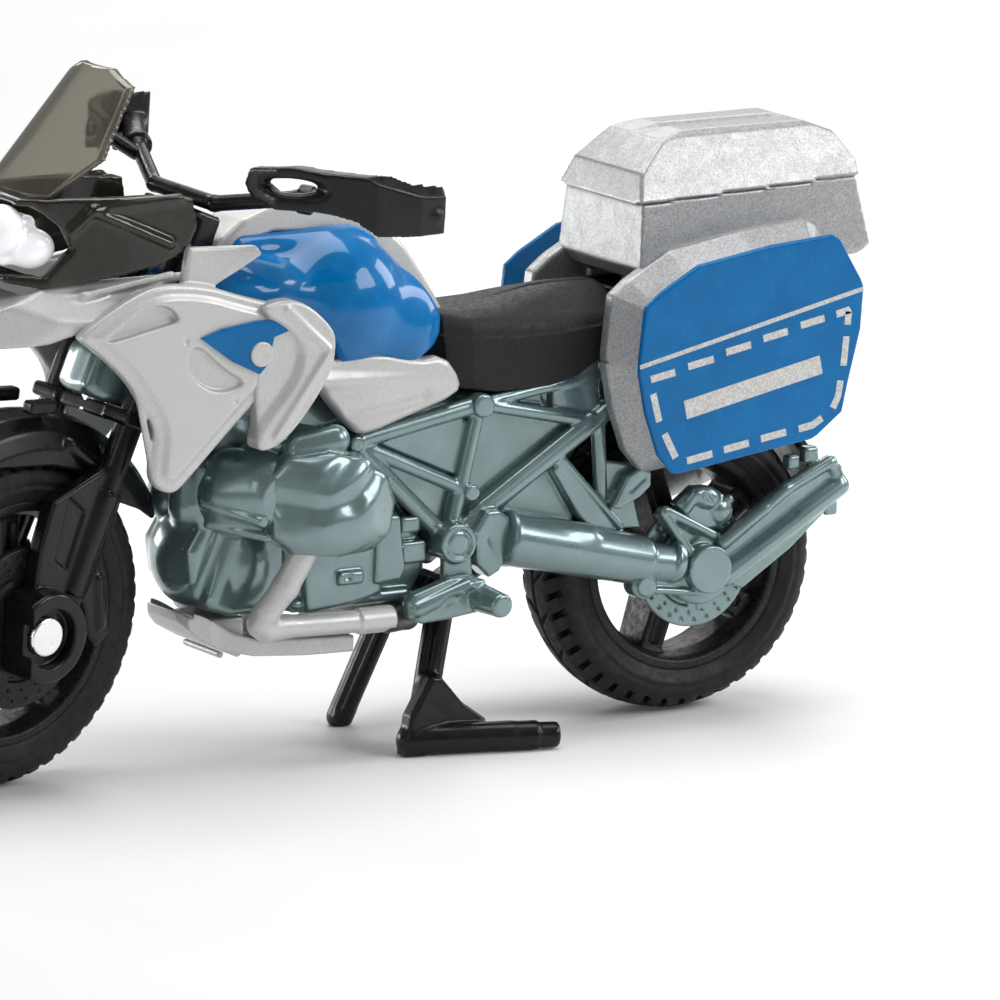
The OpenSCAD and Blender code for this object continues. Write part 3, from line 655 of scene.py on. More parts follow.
def trellis():
    c = Clay((-28, -6, 9), (-5.6, -1.8, 26.6), 0.085)
    y = -4.05
    a, b, p = (-26.8, y, 21.6), (-17.0, y, 23.3), (-19.4, y, 14.2)
    cc, d, e = (-17.9, y, 17.4), (-8.2, y, 21.3), (-6.4, y, 22.3)
    c.add(c.slab([(-26.8, 21.7), (-17, 23.4), (-7.4, 21.7), (-8.4, 20.2), (-17.2, 14.4), (-19.8, 13.8)],
            -3.55, -2.0, 0.1))
    c.add(c.slab([(-18, 15.6), (-10.8, 19.4), (-9.1, 14.2), (-14.6, 14.8)], -3.45, -2.6, 0.1), 0.05)
    c.add(c.slab([(-16.8, 23.2), (-9.2, 25.2), (-7.4, 25.8), (-7.2, 21.8)], -3.2, -2.0, 0.1), 0.1)
    c.add(c.box((-9.3, -3.2, 23.7), (1.9, 0.8, 1.9), 0.35), 0.1)
    c.cut(c.slab([(-16.2, 23.4), (-12.0, 24.3), (-11.4, 22.6)], -4.5, -3.05, 0.1), 0.08)
    plate = c.slab([(-25.4, 21.6), (-17.9, 22.7), (-17.6, 18.7), (-18.3, 18.3)], -3.85, -3.3, 0.22)
    c.add(plate, 0.06)
    for start, end, r in ((a, b, 0.62), (a, cc, 0.5), (a, p, 0.6), (b, p, 0.55), (b, d, 0.5),
                          ((-18.4, y, 14.9), e, 0.66), (b, (-7.4, y + 0.4, 24.4), 0.42),
                          ((-7.7, y, 21), (-7.5, y, 15.6), 0.5)):
        c.add(c.capsule(start, end, r), 0.14)
    c.add(c.capsule((-17.6, y - 0.2, 15.9), (-8.4, y - 0.2, 21.6), 0.42), 0.12)
    c.add(c.slab([(-10.9, 19.1), (-10.3, 19.0), (-5.95, 13.75), (-6.8, 13.3), (-8.5, 13.9),
            (-9.4, 14.9), (-11.4, 18.2)], -4.5, -3.4, 0.12), 0.1)
    c.add(c.capsule((-10.6, -4.35, 18.9), (-6.2, -4.5, 13.9), 0.28), 0.1)
    for (x, z), r, out in (((-26.8, 21.6), 0.56, -4.95), ((-17, 23.3), 0.8, -5.0),
            ((-17.9, 17.4), 0.58, -4.9)):
        c.add(c.disc(x, z, r, -2.2, out, 0.14), 0.12)
    c.add(c.disc(p[0], p[2], 1.36, -2.2, -5.7, 0.16), 0.15)
    c.cut(c.disc(p[0], p[2], 0.98, -5.5, -6.5, 0.05), 0.06)
    c.add(c.disc(p[0], p[2], 0.78, -5.0, -5.62, 0.1), 0.06)
    lens = [(-18.1, 14.9), (-17.2, 16.2), (-16.2, 16.2), (-15.4, 15.6), (-15.2, 14.6), (-15.5, 13.1),
            (-16.2, 12.0), (-17.0, 11.6), (-17.9, 12.5)]
    c.add(c.slab(lens, -5.55, -3.6, 0.22), 0.08)
    c.cut(c.capsule((-16.9, -5.75, 14.2), (-16.5, -5.75, 13.2), 0.32, 0.2), 0.12)
    c.add(c.slab([(-20.3, 14), (-18.2, 14), (-18, 9.5), (-20.4, 9.5)], -5.2, -4.5, 0.12), 0.15)
    both_sides(c, "trellis", "teal")


def crankcase():
    c = Clay((-39.6, -3.6, 10.2), (-30.8, 3.6, 21.4), 0.085, sides=True)
    c.add(c.slab([(-38.0, 21), (-38.3, 18.2), (-38.0, 16.6), (-38.9, 15.2), (-38.6, 12.9),
            (-37.2, 10.9), (-35.6, 10.4), (-31.2, 10.4), (-31.2, 21)], -3.3, 3.3, 0.7) )
    c.add(c.capsule((-37.7, -1.4, 20.2), (-37.9, -1.5, 17.9), 1.25, 1.35), 0.5)
    c.add(c.egg((-37.2, 0, 14.2), (2.35, 3.0, 3.3)), 0.6)
    c.cut(c.capsule((-36.0, -3.9, 17.2), (-37.9, -2.9, 12.0), 0.5), 0.5)
    c.add(c.capsule((-35.0, -2.6, 15.6), (-36.6, -2.5, 11.7), 0.95, 0.7), 0.35)
    c.add(c.egg((-34.2, -2.2, 13.6), (2.0, 1.6, 2.6)), 0.3)
    c.add(c.box((-38.3, 0, 13.4), (0.5, 1.2, 1.1), 0.35), 0.3)
    cast(c, "crankcase", "teal")


def gearbox():
    c = Clay((-32, -5.2, 9.4), (-19.8, 5.2, 21.8), 0.1, sides=True)
    c.add(c.slab([(-31.6, 21.3), (-27.2, 21.3), (-21.0, 14.3), (-20.9, 12.2), (-22.3, 10.4),
            (-31.6, 10.4)], -3.6, 3.6, 0.4))
    c.add(c.slab([(-30.6, 15), (-24.8, 15.6), (-24.6, 11.2), (-27.0, 10.6), (-30.4, 10.3)], -4.35, -3.3,
            0.2), 0.12)
    c.add(c.slab([(-25.2, 16.6), (-23.4, 16.4), (-23.0, 12.6), (-23.4, 11.9), (-25.4, 11.9)], -4.75,
            -3.3, 0.22), 0.08)
    c.add(c.box((-27.2, -4.45, 12.5), (1.0, 0.35, 0.42), 0.18), 0.1)
    c.cut(c.egg((-27.5, -4.85, 12.55), (0.35, 0.25, 0.22)), 0.08)
    c.add(c.box((-22.4, -3.9, 15.6), (0.75, 0.5, 0.55), 0.15), 0.08)
    c.add(c.box((-22.2, -3.9, 13.7), (0.95, 0.55, 0.75), 0.18), 0.08)
    for i in range(4):
        c.cut(c.capsule((-21.8 + 0.02 * i, -4.6, 15.05 + 0.3 * i), (-21.2, -4.6, 15.1 + 0.3 * i), 0.1),
                0.04)
    c.add(c.capsule((-31, -3.5, 10.8), (-22.6, -3.5, 10.8), 0.5), 0.1)
    cast(c, "gearbox", "teal")


def cylinders():
    c = Clay((-38, -6.6, 14.6), (-27.8, -2.4, 23.6), 0.085)
    c.add(c.capsule((-35.0, -2.8, 18.8), (-33.6, -4.4, 18.9), 3.05, 2.95))
    c.add(c.capsule((-31.6, -4.0, 18.6), (-30.8, -5.8, 18.4), 2.9), 0.4)
    c.add(c.capsule((-37.9, -3.6, 18.4), (-35.0, -7.0, 17.4), 0.3), 0.3)
    c.add(c.capsule((-37.4, -3.4, 16.9), (-34.6, -6.6, 16.3), 0.3), 0.3)
    c.add(c.capsule((-31.0, -3.4, 22.0), (-30.4, -5.9, 22.1), 1.25), 0.3)
    c.add(c.capsule((-33.8, -3.4, 22.0), (-32.9, -5.0, 22.3), 0.75), 0.2)
    c.cut(c.capsule((-32.1, -7.2, 14.4), (-33.2, -5.8, 12.6), 0.9), 0.05)
    both_sides(c, "cylinder", "teal")


def head_covers():
    c = Clay((-35, -9.7, 14.4), (-24.4, -5.2, 23.8), 0.08)
    outline = [(-34.3, 20.4), (-33.2, 21.6), (-30.6, 21.9), (-27.9, 21.3), (-26.0, 19.9), (-25.3, 18.0),
            (-25.9, 16.2), (-27.4, 15.0), (-30.0, 14.8), (-33.0, 15.2), (-34.3, 16.4)]
    c.add(c.slab(outline, -7.4, -5.8, 0.7))
    dome = c.egg((-29.7, -6.2, 18.3), (5.6, 3.35, 4.3))
    dome = np.maximum(dome, polygon_distance(c.x, c.z, outline))
    c.add(dome, 0.6)
    c.keep(c.below((-29.6, -9.25, 18.0), (-0.05, -1, 0.12)), 0.5)
    c.keep(c.below((-32.6, -8.4, 18.3), (-0.75, -1, 0.1)), 0.4)
    c.keep(c.below((-27.2, -8.7, 18.3), (0.62, -1, 0.05)), 0.4)
    crease = [Vector(p) for p in ((-34.3, -7.2, 17.9), (-31.9, -8.9, 17.5), (-29.6, -9.1, 17.9),
            (-27.8, -8.8, 19.0), (-26.4, -7.6, 20.6))]
    for i in range(4):
        c.cut(c.capsule(crease[i] + Vector((0, -0.5, 0.8)), crease[i + 1] + Vector((0, -0.5, 0.8)),
                0.45), 0.8)
    c.cut(c.capsule((-31.8, -9.6, 19.6), (-29.4, -9.0, 21.6), 0.45), 0.8)
    c.add(c.capsule((-32.2, -6.3, 22.1), (-29.6, -6.7, 22.5), 0.95, 1.05), 0.35)
    both_sides(c, "head_cover", "teal")


# ------------------------------------------------------------------ rear drive


def swing_arm():
    c = Clay((-17, -7, 8.4), (0.4, -3.2, 16.6), 0.085)
    c.add(c.rod((-15.6, -4.75, 14.15), (-4.35, -4.75, 11.35), 1.92, 1.72, edge=0.4))
    c.add(c.rod((-5.4, -4.75, 11.5), (-1.6, -4.75, 10.85), 1.38, 1.3, edge=0.3), 0.06)
    c.add(c.rod((-2.6, -4.7, 11.2), (-1.8, -4.7, 11.0), 1.62, 1.5, edge=0.2), 0.06)
    c.add(c.capsule((-9.4, -5.3, 13.6), (-12.6, -5.2, 14.6), 0.9, 0.5), 0.5)
    c.cut(c.box((-8, -3.0, 12), (10, 0.42, 6), 0.05))
    c.cut(c.disc(0, REAR[1], 3.2, -3, -5.0, 0.0))
    cast(c, "swing_arm", "teal")


def final_drive():
    c = Clay((-6.4, -6.5, 7.6), (3.8, -3.7, 16.2), 0.075)
    x, z = REAR
    c.add(c.disc(x, z, 2.65, -3.85, -5.0, 0.3))
    c.add(c.disc(x, z, 1.66, -4.6, -6.22, 0.14), 0.12)
    c.add(c.disc(-5.0, 9.9, 0.98, -4.4, -5.85, 0.16), 0.1)
    c.add(c.disc(-5.0, 9.9, 0.72, -5.7, -6.12, 0.12), 0.06)
    c.add(c.slab([(-5.4, 9.5), (-0.8, 8.75), (0.4, 9.2), (0.2, 11.6), (-1.4, 11.3), (-4.6, 10.3)], -5.3,
            -4.6, 0.2), 0.1)
    c.add(c.capsule((-4.6, -5.35, 10.2), (-1.2, -5.45, 11.3), 0.26), 0.1)
    c.add(c.capsule((-4.4, -5.35, 9.45), (-0.8, -5.5, 8.95), 0.26), 0.1)
    c.add(c.slab([(-3.6, 14.4), (-3.1, 15.0), (-2.5, 14.9), (0.9, 12.9), (0.4, 12.2), (-0.9, 11.4)],
            -4.9, -4.3, 0.15), 0.1)
    c.add(c.capsule((-3.1, -5.05, 14.6), (-1.1, -5.3, 11.7), 0.36), 0.1)
    c.add(c.capsule((-3.0, -5.05, 14.8), (0.8, -5.0, 12.7), 0.34), 0.1)
    c.cut(c.slab([(-2.4, 13.9), (-0.2, 12.7), (-1.1, 12.1)], -5.4, -4.75, 0.1), 0.1)
    cast(c, "final_drive", "teal")


def rear_caliper():
    c = Clay((-2.6, -5.2, 12.4), (3.4, -3.2, 16.6), 0.07)
    c.add(c.slab([(-1.9, 15), (-0.4, 16.1), (1.1, 15.9), (2.8, 14.8), (1.7, 13), (-0.3, 13.0)], -4.7,
            -3.55, 0.3))
    c.add(c.egg((0.4, -4.5, 15.3), (1.3, 0.75, 0.8), Matrix.Rotation(0.35, 3, "Y")), 0.2)
    c.add(c.egg((1.7, -4.5, 14.2), (0.9, 0.65, 0.95)), 0.15)
    c.add(c.capsule((-1.1, -4.5, 14.6), (-0.4, -4.7, 15.6), 0.4), 0.15)
    c.add(c.ball((2.2, -4.75, 15.0), 0.36), 0.1)
    c.cut(c.capsule((0.6, -5.3, 14.5), (1.3, -5.3, 13.6), 0.32), 0.15)
    c.cut(c.capsule((-0.2, -5.3, 16.0), (0.7, -5.2, 14.9), 0.18), 0.1)
    cast(c, "rear_caliper", "teal")


def rear_disc():
    x, z = REAR
    r = 4.35
    c = Clay((x - r, -3.95, z - r), (x + r, -3.2, z + r), 0.06)
    c.add(c.disc(x, z, r, -3.35, -3.85, 0.1))
    radius = np.hypot(c.x - x, c.z - z)
    face = np.abs(c.y + 3.9) - 0.2
    c.drill(x, z, face, ((3.85, 24, 0.13, 0.0), (3.35, 20, 0.1, 0.12)))
    a = c.sector(x, z, 4, 0.55)
    c.cut(np.maximum(np.maximum(np.abs(radius - 2.75) - 0.13, np.abs(a * 2.75) - 1.0), face), 0.05)
    c.add(np.maximum(np.maximum(np.abs(radius - 2.9) - 0.3, np.abs((a - 0.75) * 2.9) - 0.4),
            np.abs(c.y + 3.9) - 0.09), 0.08)
    cast(c, "rear_disc", "teal")


def splash_guard():
    c = Clay((0.6, -6.4, 8.4), (12.0, -4.0, 18.4), 0.08)
    outline = [(1.2, 12.3), (3.4, 14.0), (6.1, 15.7), (9.9, 17.4), (10.9, 16.6), (11.3, 15.0),
            (9.3, 13.2), (6.8, 11.2), (3.0, 8.8), (1.4, 9.4)]
    c.add(c.slab(outline, -5.35, -4.85, 0.15))
    c.add(c.capsule((1.6, -5.2, 9.9), (10.6, -5.35, 15.2), 0.85, 0.72), 0.25)
    path = [(1.4, -5.3, 12.1), (4.6, -5.45, 14.2), (6.3, -5.5, 15.4), (9.9, -5.45, 17.0)]
    for i in range(3):
        c.add(c.capsule(path[i], path[i + 1], 0.42), 0.2)
    c.add(c.capsule((10.0, -5.4, 16.8), (10.9, -5.4, 15.2), 0.42), 0.25)
    c.cut(c.capsule((2.4, -6.0, 11.6), (6.6, -6.1, 14.0), 0.42, 0.5), 0.3)
    c.add(c.box((10.2, -4.9, 13.9), (0.5, 0.3, 0.75), 0.2), 0.12)
    c.add(c.box((8.6, -4.7, 17.5), (0.55, 0.55, 0.6), 0.25), 0.15)
    c.add(c.box((7.2, -4.7, 17.1), (0.45, 0.5, 0.5), 0.2), 0.15)
    cast(c, "splash_guard", "teal")


def tail_fender():
    x, z = REAR
    c = Clay((0.6, -5.2, 13.2), (12.6, 3.6, 26), 0.1)
    radius = np.hypot(c.x - x, c.z - z)
    arch = thick(np.abs(radius - 11.65) - 0.38, np.abs(c.y) - 3.2, 0.2)
    arch = np.maximum(arch, c.below((9.6, 0, 14.2), (-0.42, 0, -1)))
    arch = np.maximum(arch, c.below((2.4, 0, 22), (-1, 0, 0.12)))
    c.add(arch)
    for i in range(7):
        a = math.radians(28 + 7.5 * i)
        px, pz = x + 12.0 * math.cos(a), z + 12.0 * math.sin(a)
        c.add(c.capsule((px, -2.5, pz), (px, 2.5, pz), 0.16), 0.1)
    c.add(c.slab([(9.2, 15.4), (10.2, 16.2), (10.5, 14.6), (9.9, 13.7)], -4.9, -3.1, 0.15), 0.1)
    c.add(c.slab([(1.9, 22.2), (3.6, 22.0), (3.6, 25.7), (1.9, 24.9)], -1.4, 1.4, 0.2), 0.2)
    cast(c, "tail_fender", "black")


def tail_lamp():
    c = Clay((8.9, -2.5, 26.6), (11.2, 2.5, 28.9), 0.06)
    c.add(c.box((10.05, 0, 27.75), (1.05, 2.4, 1.05), 0.35))
    for i in range(9):
        c.cut(c.box((11.15, -2.0 + 0.5 * i, 27.75), (0.06, 0.07, 0.75), 0.03), 0.03)
    cast(c, "tail_lamp", "red")


def footpegs():
    c = Clay((-24, -9.6, 8.8), (-16.9, -4.9, 12.3), 0.07)
    c.add(c.slab([(-23.7, 10.7), (-23.2, 11.2), (-20.4, 12.0), (-18.6, 12.1), (-17.9, 11.4),
            (-18.1, 9.5), (-20.8, 9.2), (-22.6, 9.1), (-23.6, 9.6)], -6.3, -5.2, 0.3))
    c.add(c.capsule((-23.0, -6.2, 10.2), (-19.2, -6.5, 11.5), 0.55, 0.45), 0.2)
    c.cut(c.egg((-20.6, -6.8, 10.5), (0.9, 0.5, 0.5), Matrix.Rotation(-0.4, 3, "Y")), 0.2)
    c.add(c.rod((-18.15, -5.6, 10.5), (-17.9, -9.0, 10.35), 1.02, 0.82, edge=0.28), 0.15)
    c.add(c.box((-18.4, -6.2, 11.2), (0.55, 0.4, 0.6), 0.2), 0.15)
    for i in range(3):
        c.cut(c.capsule((-19.2, -7.2 - 0.55 * i, 11.4), (-16.8, -7.2 - 0.55 * i, 11.4), 0.1), 0.05)
    both_sides(c, "footpeg", "teal")


def peg_brackets():
    c = Clay((-8.4, -5.6, 13.2), (-3.8, -3.2, 18.3), 0.065)
    c.add(c.slab([(-7.2, 15.4), (-6.0, 17.5), (-4.9, 18.0), (-4.15, 17.6), (-4.15, 16.6), (-5.0, 15.9),
            (-6.6, 15.2)], -5.2, -4.4, 0.18))
    c.add(c.slab([(-7.6, 16.4), (-5.2, 16.2), (-4.5, 13.6), (-6.2, 13.7)], -4.4, -3.5, 0.12), 0.1)
    c.add(c.slab([(-7.6, 18.6), (-4.6, 18.0), (-5.4, 16.4), (-7.4, 15.8)], -4.3, -3.5, 0.15), 0.15)
    c.cut(c.capsule((-5.75, -5.4, 16.45), (-4.75, -5.4, 17.2), 0.27), 0.06)
    both_sides(c, "peg_bracket", "teal")


# ------------------------------------------------------------------ bodywork


def tank():
    c = Clay((-39, -6.9, 26.6), (-19.4, 6.9, 38), 0.1, sides=True)
    c.add(c.egg((-34.6, -3.0, 32.4), (5.4, 3.5, 2.5), Matrix.Rotation(0.1, 3, "Y")))
    c.add(c.egg((-27.2, -2.4, 30.8), (5.4, 4.1, 5.0), Matrix.Rotation(0.5, 3, "Y")), 1.6)
    c.add(c.egg((-22.8, -2.0, 29.0), (3.6, 3.7, 4.0), Matrix.Rotation(0.6, 3, "Y")), 1.2)
    c.add(c.box((-29.4, 0, 32.4), (5.4, 2.9, 3.6), 1.0), 0.9)
    c.keep(c.slab([(-38.6, 33.3), (-36.6, 35.2), (-36.0, 37.4), (-31.5, 37.6), (-27.4, 37.2),
            (-24.2, 35.3), (-21.6, 32.4), (-20.2, 29.9), (-20.3, 28.6), (-20.9, 27.7), (-22.6, 26.7),
            (-25.4, 27.5), (-28.2, 27.3), (-29.0, 28.7), (-31.5, 31.5), (-36.4, 31.5)], *ACROSS, 0.3),
            0.35)
    c.cut(c.capsule((-35.0, -7.2, 35.9), (-28.6, -6.8, 34.9), 1.4, 1.0), 1.2)
    c.cut(c.capsule((-32.2, -7.6, 32.2), (-30.8, -7.4, 34.4), 1.0, 0.9), 1.2)
    c.cut(c.box((-30, 0, 29), (12, 2.3, 4.4), 0.2))
    cast(c, "tank", "tank")


def tank_cover():
    c = Clay((-36.2, -3, 28.8), (-17.6, 3, 38.6), 0.1, sides=True)
    top = [(-36.0, 35.4), (-33.8, 37.1), (-31.5, 37.9), (-27.3, 37.8), (-24.0, 36.5), (-21.5, 34.2),
            (-19.4, 31.0), (-18.2, 28.9), (-20.4, 28.9), (-22.2, 31.0), (-24.6, 34.0), (-27.6, 35.6),
            (-31.5, 36.0), (-33.4, 35.5), (-35.0, 34.2)]
    c.add(c.slab(top, -2.1, 2.1, 0.35))
    c.cut(c.box((-29.6, 0, 38.0), (2.4, 1.2, 0.35), 0.2), 0.15)
    c.add(c.disc(-29.6, 37.7, 0.2, -0.1, 0.1, 0.05), 0.1)
    c.add(c.rod((-30.4, 0, 37.2), (-30.4, 0, 38.1), 1.25, edge=0.2), 0.1)
    cast(c, "tank_cover", "silver")


def side_trims():
    c = Clay((-31.2, -6.1, 22), (-18.6, -3.4, 28.8), 0.08)
    outline = [(-30.6, 27.1), (-29.9, 25.7), (-27.3, 22.5), (-26.2, 22.2), (-22.9, 23.2), (-19.2, 24.3),
            (-18.9, 25.3), (-20.2, 27.1), (-22.4, 27.0), (-25.2, 27.8), (-28.3, 27.7)]
    c.add(c.slab(soft(outline, 1), -5.3, -3.9, 0.5))
    for i in range(5):
        c.add(c.capsule((-29.2 + 0.42 * i, -5.0, 26.9), (-29.2 + 0.42 * i, -5.0, 27.5), 0.17), 0.05)
    c.add(c.capsule((-29.6, -5.15, 26.2), (-20.6, -4.75, 25.6), 0.42, 0.3), 0.6)
    c.cut(c.capsule((-27.6, -5.9, 24.0), (-22.0, -5.7, 24.6), 0.5, 0.4), 0.5)
    both_sides(c, "side_trim", "silver")


def beak():
    c = Clay((-61.6, -7, 28), (-38, 7, 37.2), 0.1, sides=True)
    plan = [(-61.0, -0.9), (-59.4, -2.5), (-55.0, -4.6), (-50.0, -6.1), (-46.0, -6.6), (-42.0, -6.6),
            (-38.2, -6.2), (-38.2, 0), (-61, 0)]
    side = [(-61.2, 29.2), (-60.2, 30.5), (-57.0, 31.9), (-52.6, 33.5), (-49.6, 34.5), (-44.0, 34.9),
            (-41.4, 35.4), (-40.0, 36.4), (-38.2, 36.3), (-38.2, 34.3), (-39.8, 33.9), (-43.4, 33.4),
            (-48.2, 31.2), (-50.4, 30.6), (-54.5, 30.5), (-58.0, 29.6), (-60.6, 28.6)]
    c.add(np.maximum(c.plan(plan, 20, 40, 0.5), c.slab(side, *ACROSS, 0.35)))
    c.keep(c.below((-50, -6.6, 31.6), (0.0, -1, 0.75)), 0.25)
    c.keep(c.below((-50, -6.2, 31.6), (0.0, -1, -0.5)), 0.25)
    c.add(c.capsule((-57.6, -3.0, 31.0), (-47.6, -5.2, 33.6), 0.2), 0.35)
    c.add(c.capsule((-47.6, -5.2, 33.6), (-41.4, -5.9, 34.6), 0.25), 0.35)
    c.cut(c.capsule((-47.4, -6.5, 32.6), (-41.4, -6.6, 34.4), 0.16), 0.15)
    c.cut(c.box((-46.8, 0, 28.2), (8.6, 3.2, 2.8), 0.6), 0.3)
    c.cut(c.box((-42, 0, 34), (9.4, 4.3, 8), 0.5), 0.3)
    cast(c, "beak", "silver")


def fairings():
    c = Clay((-49.4, -7.9, 19.6), (-31.4, -1.8, 37), 0.085)
    shell = [(-48.9, 31.2), (-48.4, 30.7), (-47.2, 29.8), (-45.3, 28.0), (-44.2, 26.3), (-43.1, 24.5),
            (-43.4, 22.4), (-43.5, 21.1), (-42.8, 20.3), (-41.8, 20.0), (-40.9, 20.7), (-38.2, 23.3),
            (-35.6, 25.7), (-33.0, 28.0), (-32.2, 30.2), (-33.2, 31.9), (-36.4, 32.8), (-39.2, 33.8),
            (-42.6, 34.2), (-44.6, 33.6), (-46.6, 32.6)]
    shell = soft(shell)
    c.add(c.slab(shell, -7.0, -5.9, 0.3))
    inset = polygon_distance(c.x, c.z, shell)
    swell = thick(inset + 0.9, np.abs(c.y + 7.0) - 0.22, 0.2)
    c.add(swell, 0.5)
    c.add(c.slab([(-40.8, 33.2), (-38.9, 33.3), (-35.8, 34.8), (-34.7, 35.4), (-35.1, 36.0),
            (-40.2, 36.3)], -6.3, -5.4, 0.2), 0.3)
    pocket = [(-46.9, 30.9), (-44.6, 32.5), (-42.9, 32.9), (-41.8, 32.4), (-41.4, 31.6), (-43.2, 31.3),
            (-46.6, 30.6)]
    c.cut(c.slab(soft(pocket), -9, -6.7, 0.12), 0.18)
    ledge = [(-41.0, 29.0), (-40.2, 30.1), (-38.2, 28.1), (-36.3, 27.0), (-38.6, 26.5), (-40.4, 27.5)]
    c.cut(c.slab(soft(ledge), -9, -6.9, 0.15), 0.2)
    c.cut(c.capsule((-41.0, -7.3, 30.4), (-41.05, -7.3, 30.2), 0.16), 0.08)
    c.cut(c.capsule((-37.4, -7.3, 26.0), (-37.35, -7.3, 25.9), 0.16), 0.08)
    c.add(c.capsule((-43.1, -6.5, 21.3), (-44.4, -6.6, 27.3), 0.3, 0.2), 0.3)
    c.add(c.rod((-39, -6.3, 25.4), (-39, -2.2, 25.4), 0.6), 0.2)
    both_sides(c, "fairing", "silver")


def wings():
    c = Clay((-36.6, -8.2, 22), (-29.4, -5.6, 32.8), 0.075)
    rim = [(-35.9, 32.0), (-34.0, 32.5), (-32.2, 32.2), (-30.0, 30.2), (-29.9, 28.8), (-30.3, 27.0),
            (-33.6, 22.9), (-35.9, 22.2), (-35.9, 23.8), (-33.0, 26.7), (-32.3, 28.8), (-33.2, 30.4)]
    c.add(c.slab(soft(rim), -7.75, -5.9, 0.28))
    inner = [(-35.8, 31.6), (-33.2, 31.6), (-31.2, 29.4), (-31.3, 27.3), (-34.7, 23.2), (-35.8, 22.9)]
    c.add(c.slab(soft(inner), -7.3, -6.1, 0.2), 0.5)
    c.add(c.capsule((-33.6, -7.6, 31.8), (-30.6, -7.75, 28.9), 0.24), 0.25)
    c.add(c.capsule((-30.6, -7.75, 28.6), (-34.6, -7.7, 23.3), 0.24), 0.25)
    both_sides(c, "wing", "silver")


def badges():
    c = Clay((-40.4, -7.75, 27.2), (-31.6, -6.8, 31.6), 0.05)
    c.add(c.slab([(-40.0, 30.4), (-38.4, 30.9), (-35.8, 31.2), (-33.7, 31.2), (-32.8, 30.5),
            (-34.5, 30.0), (-35.0, 28.2), (-35.6, 27.6), (-37.6, 28.6)], -7.52, -7.15, 0.06))
    c.keep(c.slab([(-40.2, 31.6), (-31.4, 31.6), (-31.4, 27.2), (-40.2, 27.2)], -7.6, -7.1, 0.02))
    both_sides(c, "badge", "blue", smooth=1)
    c = Clay((-36.6, -7.8, 27.9), (-34.4, -7.3, 30), 0.05)
    c.add(c.disc(-35.5, 28.95, 0.85, -7.4, -7.66, 0.08))
    for side, mirror in (("left", False), ("right", True)):
        dress(c.piece(f"badge_stud_{side}", PLACE, mirror, 1), "silver", "chassis")


# Side outline of the opening that the headlight shows through
LAMP_HOLE = [(-57, 34.8), (-52.6, 35.2), (-50.3, 35.0), (-48.3, 36.8), (-49.1, 38.3), (-50.9, 39.7),
        (-57, 40.0)]


def headlight():
    c = Clay((-54.4, -4.6, 34.6), (-48, 3, 40.4), 0.07)
    c.add(c.egg((-52.3, -2.7, 38.0), (1.5, 1.7, 1.75)))
    c.add(c.egg((-50.4, -3.1, 36.7), (1.65, 1.3, 1.35)), 0.35)
    c.add(c.egg((-52.6, -0.4, 38.2), (1.5, 1.6, 1.6)), 0.3)
    c.add(c.egg((-52.4, 1.6, 37.5), (1.5, 1.2, 1.4)), 0.3)
    c.add(c.box((-51.4, -1.2, 37.3), (1.4, 2.2, 1.6), 0.5), 0.3)
    c.keep(c.below((-53.9, 0, 37), (-1, 0, 0.1)), 0.2)
    cast(c, "headlight", "lamp")


def lamp_surround():
    c = Clay((-54, -6.1, 33.6), (-38.6, 6.1, 40.6), 0.09, sides=True)
    side = [(-53.5, 35.1), (-52.4, 34.6), (-50.5, 34.2), (-47.5, 34.4), (-44.5, 34.8), (-42.2, 35.2),
            (-40, 36.1), (-39.3, 37.6), (-39.6, 39.5), (-42.4, 39.8), (-51.6, 40.2), (-53.1, 38.8)]
    plan = [(-53.6, -1.8), (-52.4, -3.6), (-50, -4.95), (-44.5, -5.6), (-39, -5.7), (-39, 5.7),
            (-53.6, 5.7)]
    c.add(np.maximum(c.slab(side, *ACROSS, 0.35), c.plan(plan, 30, 44, 0.5)))
    c.cut(c.capsule((-50.8, -6.4, 37.9), (-41.4, -7.0, 37.0), 1.15, 0.85), 0.3)
    c.add(c.capsule((-51.4, -4.4, 35.4), (-46.9, -5.4, 39.2), 0.3), 0.3)
    c.add(c.capsule((-46.9, -5.4, 39.2), (-41.4, -5.8, 36.6), 0.3), 0.3)
    c.add(c.capsule((-46.9, -5.3, 39.3), (-40.6, -5.5, 39.6), 0.3), 0.3)
    c.cut(c.box((-43.3, 0, 36), (7.0, 4.3, 8), 0.3))
    c.cut(np.maximum(polygon_distance(c.x, c.z, LAMP_HOLE), -3.0 - c.y), 0.3)
    c.cut(c.slab(LAMP_HOLE, -9, 3.0, 0.3), 0.3)
    cast(c, "lamp_surround", "smoke")


def windscreen():
    c = Clay((-52.6, -5.8, 39.6), (-39.8, 5.8, 48.4), 0.08, sides=True)
    lean = Matrix.Rotation(math.radians(42), 3, "Y")
    x, y, _ = c.local((-52, 0, 39.4), lean)
    sheet = np.abs(np.hypot(x - 9, y) - 8.72) - 0.24
    c.add(np.maximum(sheet, x - 9))
    c.keep(c.front([(-5.4, 42.5), (-4.2, 40.1), (4.2, 40.1), (5.4, 42.5), (4.2, 47), (2, 48), (-2, 48),
            (-4.2, 47)], -60, -38, 0.1), 0.05)
    cast(c, "windscreen", "screen")


